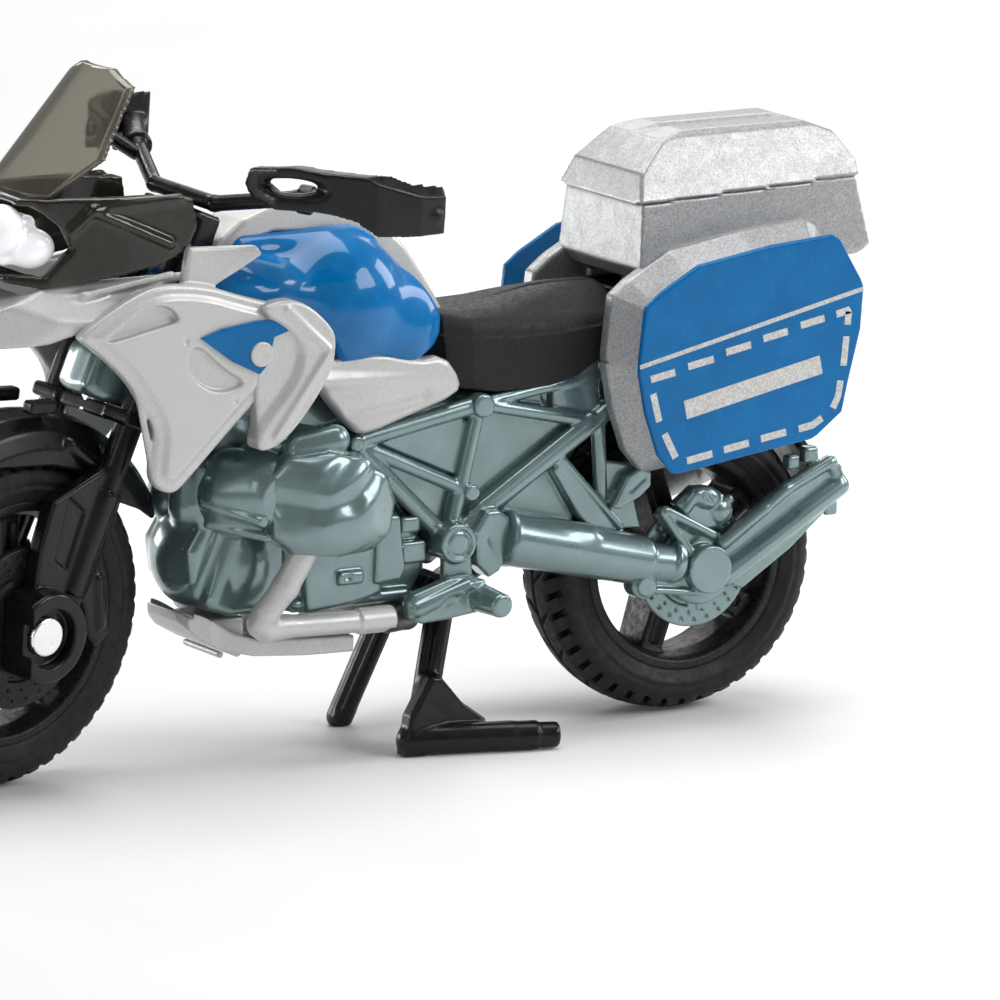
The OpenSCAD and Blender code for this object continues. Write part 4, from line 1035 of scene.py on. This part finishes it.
def seat():
    c = Clay((-20, -5, 23.4), (-5, 5, 31.4), 0.085, sides=True)
    side = [(-19.6, 29.9), (-17.6, 29.5), (-14.5, 29.7), (-11.8, 30.3), (-9.1, 31.0), (-5.6, 31.0),
            (-5.4, 27.4), (-7.1, 25.9), (-9.4, 24.6), (-11.6, 24.1), (-15.6, 24.0), (-19.3, 24.6),
            (-19.3, 27.0)]
    plan = [(-19.7, -3.4), (-17.4, -4.1), (-13.0, -4.35), (-9.0, -4.35), (-5.4, -4.1), (-5.4, 0),
            (-19.7, 0)]
    c.add(np.maximum(c.slab(side, *ACROSS, 0.3), c.plan(plan, 10, 40, 0.35)))
    c.keep(c.below((-12, -3.3, 29.2), (0.05, -0.75, 1)), 0.7)
    c.keep(c.below((-12, 0, 30.6), (0.0, 0, 1)), 1.2)
    seam_z = 27.55 + 0.012 * (c.x + 12.6) ** 2
    skin = polygon_distance(c.x, c.y, plan)
    c.add(np.maximum(np.hypot(skin, c.z - seam_z) - 0.09, c.x + 6.0), 0.05)
    c.cut(c.box((-13, 0, 21.6), (9, 2.25, 3.9), 0.2))
    cast(c, "seat", "seat")


# ------------------------------------------------------------------ luggage


def luggage_rack():
    c = Clay((-4.8, -4.4, 27.8), (9.4, 4.4, 30), 0.1, sides=True)
    c.add(c.box((2.2, 0, 29.15), (6.8, 4.2, 0.55), 0.25))
    for i in range(4):
        c.cut(c.box((-2.6 + 3.1 * i, 0, 29.4), (1.0, 3.2, 0.9), 0.3), 0.1)
    c.add(c.box((5.7, 0, 28.3), (2.3, 2.2, 0.4), 0.15), 0.1)
    cast(c, "luggage_rack", "black")


def top_case():
    c = Clay((-6.0, -6.0, 30.2), (13.6, 6.0, 41), 0.1, sides=True)
    low = [(-5.3, 31.6), (-4.5, 30.6), (12.0, 31.2), (12.9, 31.9), (12.0, 36.6), (-4.85, 36.2)]
    c.add(np.maximum(c.slab(low, *ACROSS, 0.2), c.below((0, -5.6, 31.6), (0, -1, 0.1))))
    c.keep(c.below((0, -5.3, 31.2), (0, -1, -0.9)), 0.15)
    lid = [(-5.25, 36.0), (-4.6, 38.0), (-2.4, 40.0), (-0.4, 40.45), (9.0, 40.4), (11.0, 39.6),
            (12.3, 37.6), (12.2, 36.5)]
    slope = np.maximum(c.below((0, -5.35, 36.4), (0, -1, 0.5)), c.below((0, -4.2, 39.8), (0, -0.5, 1)))
    c.add(np.maximum(c.slab(lid, *ACROSS, 0.3), slope), 0.12)
    c.cut(c.slab([(-5.5, 35.95), (13, 36.6), (13, 36.72), (-5.5, 36.07)], -9, -4.9, 0.0), 0.03)
    c.cut(c.capsule((-2.0, 0, 40.7), (8.5, 0, 40.7), 0.5), 0.4)
    c.add(c.box((11.9, 0, 35.2), (0.5, 1.5, 0.7), 0.25), 0.15)
    cast(c, "top_case", "flake")


# Outline of the blue panel on the side cases
PANEL = [(-7.3, 29.9), (-6.2, 30.75), (-3.1, 32.45), (2.5, 33.3), (7.4, 33.65), (8.0, 33.3),
        (9.7, 30.4), (9.95, 29.8), (9.7, 26.9), (8.75, 23.4), (8.25, 21.3), (6.3, 19.85), (5.8, 19.6),
        (0.5, 18.9), (-4.7, 18.2), (-5.2, 18.3), (-6.3, 19.6), (-7.3, 22.6), (-7.8, 25.4),
        (-7.75, 26.3)]


def side_cases():
    c = Clay((-8.8, -10, 17.3), (10.9, -4.4, 34.9), 0.09)
    rim_line = polygon_distance(c.x, c.z, PANEL) - 0.42
    body = thick(rim_line, np.abs(c.y + 7.2) - 2.38, 0.38)
    chamfer = (rim_line - 0.95 * (c.y + 5.9)) / 1.38
    c.add(np.maximum(body, np.maximum(chamfer, rim_line)))
    c.keep((rim_line + 0.5 * (-(c.y + 8.9))) / 1.118, 0.1)
    c.cut(polygon_distance(c.x, c.z, PANEL) + np.maximum(c.y + 9.46, 0) * 3, 0.03)
    skin = np.maximum(-rim_line - 0.14, 0)
    seam = np.hypot(np.maximum(np.abs(c.z - 25.62) - 0.02, 0), skin) - 0.05
    c.cut(seam, 0.05)
    c.add(c.box((-2.2, -4.9, 29.6), (1.2, 0.4, 0.5), 0.2), 0.15)
    c.add(c.box((5.0, -4.9, 29.6), (1.2, 0.4, 0.5), 0.2), 0.15)
    both_sides(c, "side_case", "flake")
    c = Clay((-8.2, -9.95, 17.9), (10.3, -9.2, 34), 0.07)
    c.add(thick(polygon_distance(c.x, c.z, PANEL) + 0.03, np.abs(c.y + 9.5) - 0.22, 0.12))
    both_sides(c, "case_panel", "blue", smooth=1)
    case_print()


def ribbon(points, width, y):
    """A printed line of even width as a thin solid strip."""
    verts, faces = [], []
    for i in range(len(points)):
        a = Vector(points[max(i - 1, 0)])
        b = Vector(points[min(i + 1, len(points) - 1)])
        along = (b - a).normalized()
        n = Vector((-along.y, along.x)) * width / 2
        p = Vector(points[i])
        for q in (p + n, p - n):
            verts += [(q.x, y, q.y), (q.x, y - 0.03, q.y)]
    for i in range(len(points) - 1):
        k = 4 * i
        faces += [(k + 1, k + 3, k + 7, k + 5), (k, k + 4, k + 6, k + 2), (k, k + 1, k + 5, k + 4),
                (k + 2, k + 6, k + 7, k + 3)]
    k = 4 * (len(points) - 1)
    faces += [(0, 2, 3, 1), (k, k + 1, k + 3, k + 2)]
    return verts, faces


def case_print():
    """The divider line, the dashed outline and one plain bar, printed on the blue panel."""
    y = -9.715
    dashes = [[(-6.9, 24.95), (-5.0, 25.27)], [(-3.98, 25.56), (-1.98, 25.9)],
            [(-1.0, 26.27), (0.95, 26.62)], [(1.92, 26.93), (3.85, 27.28)],
            [(4.87, 27.58), (6.75, 27.92)], [(7.7, 28.1), (8.72, 28.3), (8.68, 28.2), (8.58, 27.3)],
            [(8.5, 26.5), (8.28, 24.5)], [(8.05, 23.5), (7.85, 22.4), (7.45, 21.65)],
            [(6.6, 21.05), (5.85, 20.62), (4.75, 20.46)], [(1.75, 20.06), (3.75, 20.34)],
            [(-1.15, 19.58), (0.8, 19.87)], [(-4.06, 19.1), (-2.07, 19.4)],
            [(-6.72, 23.95), (-6.25, 22.0)], [(-5.82, 21.12), (-4.95, 19.4)]]
    strips = [(d, 0.5) for d in dashes] + [([(-7.75, 25.85), (9.85, 29.68)], 0.3)]
    strips.append(([(-4.2, 22.6), (6.5, 24.75)], 1.3))
    for side, sign in (("left", 1), ("right", -1)):
        verts, faces = [], []
        for points, width in strips:
            v, f = ribbon(points, width, y)
            faces += [tuple(i + len(verts) for i in face) for face in f]
            verts += v
        verts = [(x, sign * yy, z) for x, yy, z in verts]
        if sign < 0:
            faces = [face[::-1] for face in faces]
        piece = plain_mesh(f"case_print_{side}", verts, faces)
        dress(piece, "print", "chassis")


def plain_mesh(name, verts, faces, place=PLACE):
    mesh = bpy.data.meshes.new(name)
    mesh.from_pydata([tuple(place @ Vector(v)) for v in verts], [], faces)
    mesh.update()
    piece = bpy.data.objects.new(name, mesh)
    bpy.context.scene.collection.objects.link(piece)
    return piece


# ------------------------------------------------------------------ exhaust


def skid_plate():
    c = Clay((-41, -4, 6), (-24, 4, 12), 0.085, sides=True)
    side = [(-39.2, 11.0), (-39.0, 10.2), (-38.0, 9.1), (-36.6, 8.3), (-34.0, 7.6), (-30.0, 7.25),
            (-26.4, 7.15), (-26.3, 8.3), (-33.6, 8.7), (-35.6, 9.4), (-37.4, 10.5), (-38.6, 11.1)]
    plan = [(-39.4, -1.6), (-38.6, -2.9), (-37.2, -3.5), (-26.2, -3.55), (-26.2, 0), (-39.4, 0)]
    c.add(np.maximum(c.slab(side, *ACROSS, 0.2), c.plan(plan, 4, 14, 0.3)))
    c.cut(c.slab([(-39.4, 12.6), (-39.2, 11.0), (-37.4, 9.8), (-35.6, 8.8), (-33.8, 8.3), (-26.6, 7.9),
            (-26.6, 9.5), (-33, 10)], -2.9, 2.9, 0.2), 0.15)
    for i in range(7):
        c.add(c.capsule((-36.0 + 1.3 * i, -2.4, 7.75 - 0.07 * i),
                (-36.0 + 1.3 * i, 2.4, 7.75 - 0.07 * i), 0.24), 0.1)
    c.add(c.box((-35.6, 0, 9.3), (1.5, 2.4, 0.9), 0.25), 0.1)
    c.add(c.box((-31.8, 0, 9.2), (0.7, 1.4, 1.6), 0.15), 0.1)
    c.add(c.box((-27.4, 0, 9.0), (0.6, 1.4, 1.6), 0.15), 0.1)
    cast(c, "skid_plate", "silver")


def header_pipes():
    for side, mirror in (("left", False), ("right", True)):
        c = Clay((-36, -7.8, 8), (-23.6, -3.6, 15.6), 0.075)
        path = [(-32.0, -6.75, 15.0), (-33.1, -6.2, 12.7), (-34.2, -5.5, 10.9), (-34.45, -5.2, 10.2),
                (-33.9, -5.1, 9.75), (-32.4, -5.05, 9.8)]
        radii = [0.92, 0.9, 0.88, 0.9, 0.9, 0.8]
        for i in range(5):
            c.add(c.capsule(path[i], path[i + 1], radii[i], radii[i + 1]), 0.25)
        c.add(c.rod((-33.4, -5.05, 9.8), (-26.6, -4.95, 9.55), 0.78, edge=0.1), 0.2)
        c.add(c.rod((-27.0, -4.95, 9.55), (-24.2, -4.9, 9.5), 0.9, edge=0.15), 0.08)
        nodes = () if mirror else ("header_pipes",)
        dress(c.piece(f"header_pipe_{side}", PLACE, mirror), "silver", "chassis", *nodes)
    c = Clay((-25.6, -6.4, 6.6), (-20, 8, 11.2), 0.09)
    c.add(c.capsule((-24.6, -4.9, 9.3), (-22.8, -4.4, 9.3), 0.82))
    c.add(c.capsule((-22.8, -4.4, 9.3), (-22.2, -1.2, 9.3), 0.82), 0.2)
    c.add(c.capsule((-22.2, -1.2, 9.3), (-23.4, 4.6, 9.1), 0.82), 0.2)
    c.add(c.capsule((-24.2, 4.9, 9.1), (-22.4, 6.6, 7.9), 0.86), 0.3)
    dress(c.piece("exhaust_link"), "exhaust", "chassis")


def silencer():
    c = Clay((-22.8, 4.6, 6.2), (-7.6, 9, 13.6), 0.1)
    c.add(c.capsule((-21.4, 6.7, 7.8), (-15, 7.1, 7.8), 1.05))
    c.add(c.capsule((-15, 7.1, 7.8), (-9.4, 6.9, 11), 1.05, 1.15), 0.3)
    dress(c.piece("silencer_pipe"), "exhaust", "chassis")
    c = Clay((-11, 3.6, 8), (10.8, 9.6, 18.6), 0.1)
    c.add(c.rod((-9.6, 6.9, 10.9), (7.8, 7.3, 16.0), 1.75, 2.1, edge=0.5))
    c.add(c.rod((-8.6, 6.95, 11.2), (-7.8, 6.95, 11.45), 1.98, edge=0.15), 0.1)
    c.add(c.rod((5.4, 7.2, 15.3), (8.0, 7.3, 16.1), 2.14, 2.05, edge=0.4), 0.05)
    c.add(c.rod((7.6, 7.3, 16.0), (9.5, 7.35, 16.55), 1.5, edge=0.2), 0.2)
    c.cut(c.rod((7.9, 7.3, 16.08), (11, 7.36, 17), 1.1, edge=0.0), 0.05)
    c.add(c.capsule((-2, 6.2, 13.6), (-2, 4.2, 17.0), 0.45), 0.2)
    cast(c, "silencer", "flake")


# ------------------------------------------------------------------ pins


def pins():
    x, z = REAR
    c = Clay((x - 1.5, -5.7, z - 1.5), (x + 1.5, 3.9, z + 1.5), 0.06)
    c.add(c.disc(x, z, 0.6, -5.6, 3.4, 0.05))
    c.add(c.disc(x, z, 1.3, 3.3, 3.8, 0.15), 0.05)
    cast(c, "rear_axle", "nickel")
    c = Clay((-19.9, -5.3, 9.7), (-18.5, 5.3, 11.1), 0.05)
    c.add(c.disc(-19.2, 10.4, 0.6, -5.2, 5.2, 0.12))
    cast(c, "stand_pin", "nickel")
    c = Clay((-46.4, -1.2, 23.4), (-40, 1.2, 30.8), 0.06)
    c.add(c.rod(stem(0, 0, BLOCK[0] - 1.1), stem(0, 0, BLOCK[1] + 1.1), 1.0, edge=0.15))
    cast(c, "steering_pin", "nickel", "steering")
    x, z = FRONT
    c = Clay((x - 1.5, -5.6, z - 1.5), (x + 1.5, 5.6, z + 1.5), 0.06, sides=True)
    c.add(c.disc(x, z, 0.6, -5, 5, 0.02))
    c.add(c.disc(x, z, 1.37, -4.95, -5.45, 0.18), 0.03)
    cast(c, "front_axle", "nickel", "steering")


# ------------------------------------------------------------------ fork


def forks():
    x, z = FRONT
    c = Clay((-53.4, -6, 8.2), (-41.4, -2.7, 30.8), 0.085)
    top = stem(0, -3.75, 5.6)
    low = stem(0, -3.75, -12.2)
    c.add(c.rod(top, low, 0.95, edge=0.1))
    lower = stem(0, -3.75, -5.0)
    c.add(c.rod(lower, low, 1.12, 1.0, edge=0.15), 0.1)
    plate = [(-51.0, 20.4), (-51.9, 17.6), (-52.4, 13.6), (-51.0, 11.2), (-48.6, 12.0), (-47.0, 14.8),
            (-45.6, 17.8), (-44.6, 20.8), (-46.2, 22.2)]
    c.add(c.slab(plate, -4.25, -2.95, 0.25), 0.25)
    c.cut(c.slab([(-49.6, 20.6), (-50.6, 16.4), (-49.6, 15.6), (-48.2, 19.4)], -6, -4.0, 0.12), 0.15)
    c.cut(c.egg((-49.6, -4.4, 17.6), (0.5, 0.3, 0.3)), 0.15)
    c.add(c.disc(x, z, 3.1, -2.95, -5.9, 0.3), 0.2)
    c.cut(c.disc(x, z, 2.02, -4.95, -6.5, 0.08), 0.1)
    c.cut(c.disc(x, z, 0.6, 0, -6.5, 0.0))
    cal = [(-48.6, 14.6), (-47.4, 15.6), (-46.4, 15.4), (-45.6, 13.4), (-45.3, 10.4), (-46.4, 9.6),
            (-47.2, 10.6), (-47.6, 12.4)]
    c.add(c.slab(cal, -4.0, -2.95, 0.3), 0.15)
    c.add(c.capsule((-46.5, -3.9, 14.4), (-46.2, -3.9, 11.2), 0.42), 0.2)
    c.cut(c.capsule((-47.5, -4.3, 13.6), (-47.3, -4.3, 11.0), 0.2), 0.12)
    both_sides(c, "fork", "black", "steering")


def fork_yokes():
    c = Clay((-47, -5.1, 23), (-34, 5.1, 40.4), 0.1, sides=True)
    for z in (BLOCK[0] - 0.6, BLOCK[1] + 0.6):
        c.add(c.box(stem(0, 0, z), (1.35, 4.85, 0.5), 0.3, LEAN))
        c.cut(c.box(stem(-1.5, 0, z), (0.5, 2.3, 0.8), 0.3, LEAN), 0.15)
    c.add(c.rod(stem(0, -1.7, 4.8), stem(1.6, -1.7, 12), 0.75), 0.2)
    c.add(c.box(stem(1.6, 0, 13.0), (1.6, 2.3, 1.6), 0.25, LEAN), 0.15)
    c.add(c.box(stem(1.5, -1.75, 13.4), (1.75, 0.35, 1.3), 0.15, LEAN), 0.1)
    c.cut(c.box(stem(0.9, -2.5, 13.2), (0.5, 0.4, 0.9), 0.15, LEAN), 0.1)
    cast(c, "fork_yokes", "black", "steering")


def handlebar():
    c = Clay((-38.6, -15.4, 37.6), (-27.6, 15.4, 41.2), 0.1, sides=True)
    path = [(-37, 0, 38.7), (-37, -3, 38.7), (-34.1, -8, 39.8), (-29, -14.4, 39.4)]
    for i, r in enumerate((0.55, 0.55, 0.6)):
        c.add(c.capsule(path[i], path[i + 1], r), 0.2)
    c.add(c.rod((-33.2, -9.2, 39.75), (-29.0, -14.4, 39.4), 0.78, edge=0.15), 0.08)
    c.add(c.rod((-34.1, -8.0, 39.8), (-33.5, -8.9, 39.75), 1.0, edge=0.15), 0.1)
    for i in range(9):
        t = 0.12 + 0.09 * i
        a = (-33.2 + 4.2 * t, -9.2 - 5.2 * t, 39.75 - 0.35 * t)
        b = (-33.2 + 4.2 * (t + 0.02), -9.2 - 5.2 * (t + 0.02), 39.75 - 0.35 * t)
        c.add(c.rod(a, b, 0.85, edge=0.04), 0.03)
    c.add(c.capsule((-35.3, -8.9, 39.7), (-31.2, -13.6, 39.2), 0.28, 0.22), 0.1)
    cast(c, "handlebar", "black", "steering")


def handguards():
    c = Clay((-39.4, -16, 37), (-26.4, 16, 43.6), 0.1, sides=True)
    arc = [(-38.2, -7.0), (-37.6, -9.6), (-35.6, -12.0), (-32.6, -14.0), (-29.4, -15.0), (-27.4, -15.2),
            (-27.2, -14.5), (-29.8, -14.2), (-32.4, -13.1), (-34.9, -11.2), (-36.7, -9.1),
            (-37.3, -7.0)]
    face = [(-7.0, 41.2), (-7.6, 40.3), (-9.5, 39.8), (-12, 39.9), (-13.2, 39.3), (-14.1, 38.2),
            (-15.4, 38.1), (-15.4, 40.4), (-13.6, 42.3), (-10.2, 42.8), (-7.4, 42.3)]
    c.add(np.maximum(c.plan(arc, 36, 44, 0.2), polygon_distance(c.y, c.z, face)))
    c.add(c.capsule((-37.4, -7.8, 41.2), (-35.0, -7.2, 39.6), 0.5), 0.2)
    c.add(c.capsule((-28.0, -14.8, 39.4), (-28.9, -14.3, 39.4), 0.6), 0.2)
    c.cut(c.egg((-37.5, -11.6, 41.4), (2.2, 3.2, 0.7)), 0.4)
    cast(c, "handguards", "black", "steering")


def front_fender():
    x, z = FRONT
    c = Clay((-62, -3.2, 15), (-37.6, 3.2, 28.2), 0.09, sides=True)
    profile = [(0, 14.35), (-1.3, 14.1), (-2.3, 13.3), (-2.8, 12.1), (-2.85, 10.9), (-2.5, 10.8),
            (-2.4, 12.0), (-2.0, 12.9), (-1.1, 13.55), (0, 13.75), (0.2, 13.75), (0.2, 14.35)]
    c.add(c.ring(x, z, profile))
    side = [(-61.6, 18.8), (-58.6, 21.0), (-54.5, 22.9), (-50, 22.4), (-46, 21.0), (-44.4, 19.2),
            (-42.0, 18.2), (-39.8, 16.8), (-38.0, 16.4), (-37.8, 28), (-61.6, 28)]
    c.keep(c.slab(side, *ACROSS, 0.4), 0.25)
    c.keep(c.below((-39.4, 0, 17), (1, -0.35, -0.4)), 0.5)
    c.add(c.box((-50.6, -1.9, 26.4), (1.2, 0.5, 0.45), 0.2, Matrix.Rotation(0.1, 3, "Y")), 0.2)
    c.add(c.capsule((-48.4, -2.6, 23.6), (-46.0, -3.0, 21.6), 0.5), 0.25)
    cast(c, "front_fender", "black", "steering")


# ------------------------------------------------------------------ stand


def centre_stand():
    c = Clay((-24.6, -9, 0), (-12.4, 9, 12), 0.085)
    px, pz = -19.2, 10.4
    c.add(c.rod((px, -3.0, pz), (px, 3.0, pz), 1.12, edge=0.1))
    for s in (-1, 1):
        top, foot = (px, 2.95 * s, pz), (-22.55, 5.35 * s, 0.6)
        c.add(c.rod((px, 2.2 * s, pz), (px, 4.2 * s, pz), 1.15, edge=0.15), 0.1)
        c.add(c.capsule(top, foot, 0.98, 0.92), 0.2)
        u = (Vector(foot) - Vector(top)).normalized()
        for side in (-1, 1):
            off = Vector((0.62 * side, -0.55, 0))
            c.cut(c.capsule(Vector(top) + off * 1.25 + u * 1.6, Vector(foot) + off * 1.25 - u * 0.8,
                    0.22), 0.15)
    c.add(c.slab([(-23.9, 0.05), (-23.4, 2.8), (-21.8, 5.4), (-21.0, 5.3), (-19.4, 3.4), (-17.6, 2.1),
            (-17.2, 0.05)], -6.2, -4.7, 0.3), 0.4)
    c.cut(c.capsule((-21.9, -6.75, 3.4), (-20.6, -6.75, 2.5), 0.5), 0.3)
    c.add(c.capsule((-23.0, -5.4, 1.05), (-16.4, -7.35, 1.05), 1.05, 1.0), 0.2)
    c.add(c.rod((-17.4, -7.06, 1.0), (-14.6, -7.9, 1.0), 1.0, edge=0.15), 0.1)
    c.add(c.rod((-14.9, -7.8, 0.98), (-13.2, -8.3, 0.95), 0.88, edge=0.3), 0.04)
    c.keep(c.below((0, 0, 0.0), (0, 0, -1)), 0.1)
    c.cut(c.disc(px, pz, 0.65, -6, 6, 0.0))
    cast(c, "centre_stand", "black", "stand")


# ------------------------------------------------------------------ stage


def stage():
    paper = Paint("paper", (0.86, 0.86, 0.86), 0.6)
    paper.vary_roughness(paper.noise(60), 0.55, 0.65)
    paper.bump(paper.noise(900, 3), 0.02, 0.00005)
    paper.shader.inputs["Emission Color"].default_value = (1, 1, 1, 1)
    paper.shader.inputs["Emission Strength"].default_value = 0.03
    floor = plain_mesh("floor", [(-900, -900, 0), (900, -900, 0), (900, 900, 0), (-900, 900, 0)],
            [(0, 1, 2, 3)])
    floor.data.materials.append(paper.material)
    world = bpy.data.worlds.new("studio")
    bpy.context.scene.world = world
    world.use_nodes = True
    sky = world.node_tree.nodes["Background"]
    sky.inputs["Color"].default_value = (1.0, 1.0, 1.0, 1)
    sky.inputs["Strength"].default_value = 0.25
    lamp("key", (150, -210, 170), (130, 120), (-15, 0, 15), 7.0)
    lamp("side", (215, -40, 120), (90, 110), (-15, 0, 15), 7.0)
    lamp("left", (-230, -120, 120), (60, 120), (-30, 0, 15), 1.6)
    lamp("top", (0, 30, 300), (240, 220), (-15, 30, 0), 4.4)
    lamp("far", (230, 420, 240), (400, 280), (220, 420, 0), 2.4)
    lamp("card", (-170, 210, 45), (150, 60), (-30, 0, 18), 7.0, True)
    lamp("front", (-300, 60, 70), (120, 110), (-40, 0, 15), 12.0, True)
    lamp("back", (-40, 300, 260), (120, 60), (-30, 0, 18), 9.0, True)


def lamp(name, where, size, aim, radiance, only_reflected=False):
    """Softbox of a given brightness; a card that only shows in reflections lights nothing."""
    data = bpy.data.lights.new(name, "AREA")
    data.shape = "RECTANGLE"
    data.size, data.size_y = size[0] * MM, size[1] * MM
    data.energy = radiance * math.pi * data.size * data.size_y
    light = bpy.data.objects.new(name, data)
    light.visible_diffuse = not only_reflected
    light.location = spot(*where)
    light.rotation_euler = (spot(*aim) - light.location).to_track_quat("-Z", "Y").to_euler()
    bpy.context.scene.collection.objects.link(light)


# The long lens of the photo: focal length and film width in mm, angles in degrees, distance in m
LENS, FILM = 424.2, 36
VIEW_ANGLE, VIEW_HEIGHT = -29.8, 11.2
AIM = (-13.03, 0, 15.62)
DISTANCE = 0.8


def camera():
    data = bpy.data.cameras.new("camera")
    data.lens = LENS
    data.sensor_width = FILM
    data.clip_start, data.clip_end = 0.05, 5
    eye = bpy.data.objects.new("camera", data)
    az, el = math.radians(VIEW_ANGLE), math.radians(VIEW_HEIGHT)
    aim = spot(*AIM)
    back = Vector((math.sin(az) * math.cos(el), -math.cos(az) * math.cos(el), math.sin(el)))
    eye.location = aim + back * DISTANCE
    eye.rotation_euler = (aim - eye.location).to_track_quat("-Z", "Y").to_euler()
    bpy.context.scene.collection.objects.link(eye)
    bpy.context.scene.camera = eye


for build in (wheels, frame_spine, trellis, crankcase, gearbox, cylinders, head_covers, swing_arm,
        final_drive, rear_caliper, rear_disc, splash_guard, tail_fender, tail_lamp, footpegs,
        peg_brackets, tank, tank_cover, side_trims, beak, fairings, wings, badges, headlight,
        lamp_surround, windscreen, seat, luggage_rack, top_case, side_cases, skid_plate, header_pipes,
        silencer, pins, forks, fork_yokes, handlebar, handguards, front_fender, centre_stand, stage,
        camera):
    build()

bpy.context.scene.view_settings.view_transform = "Standard"
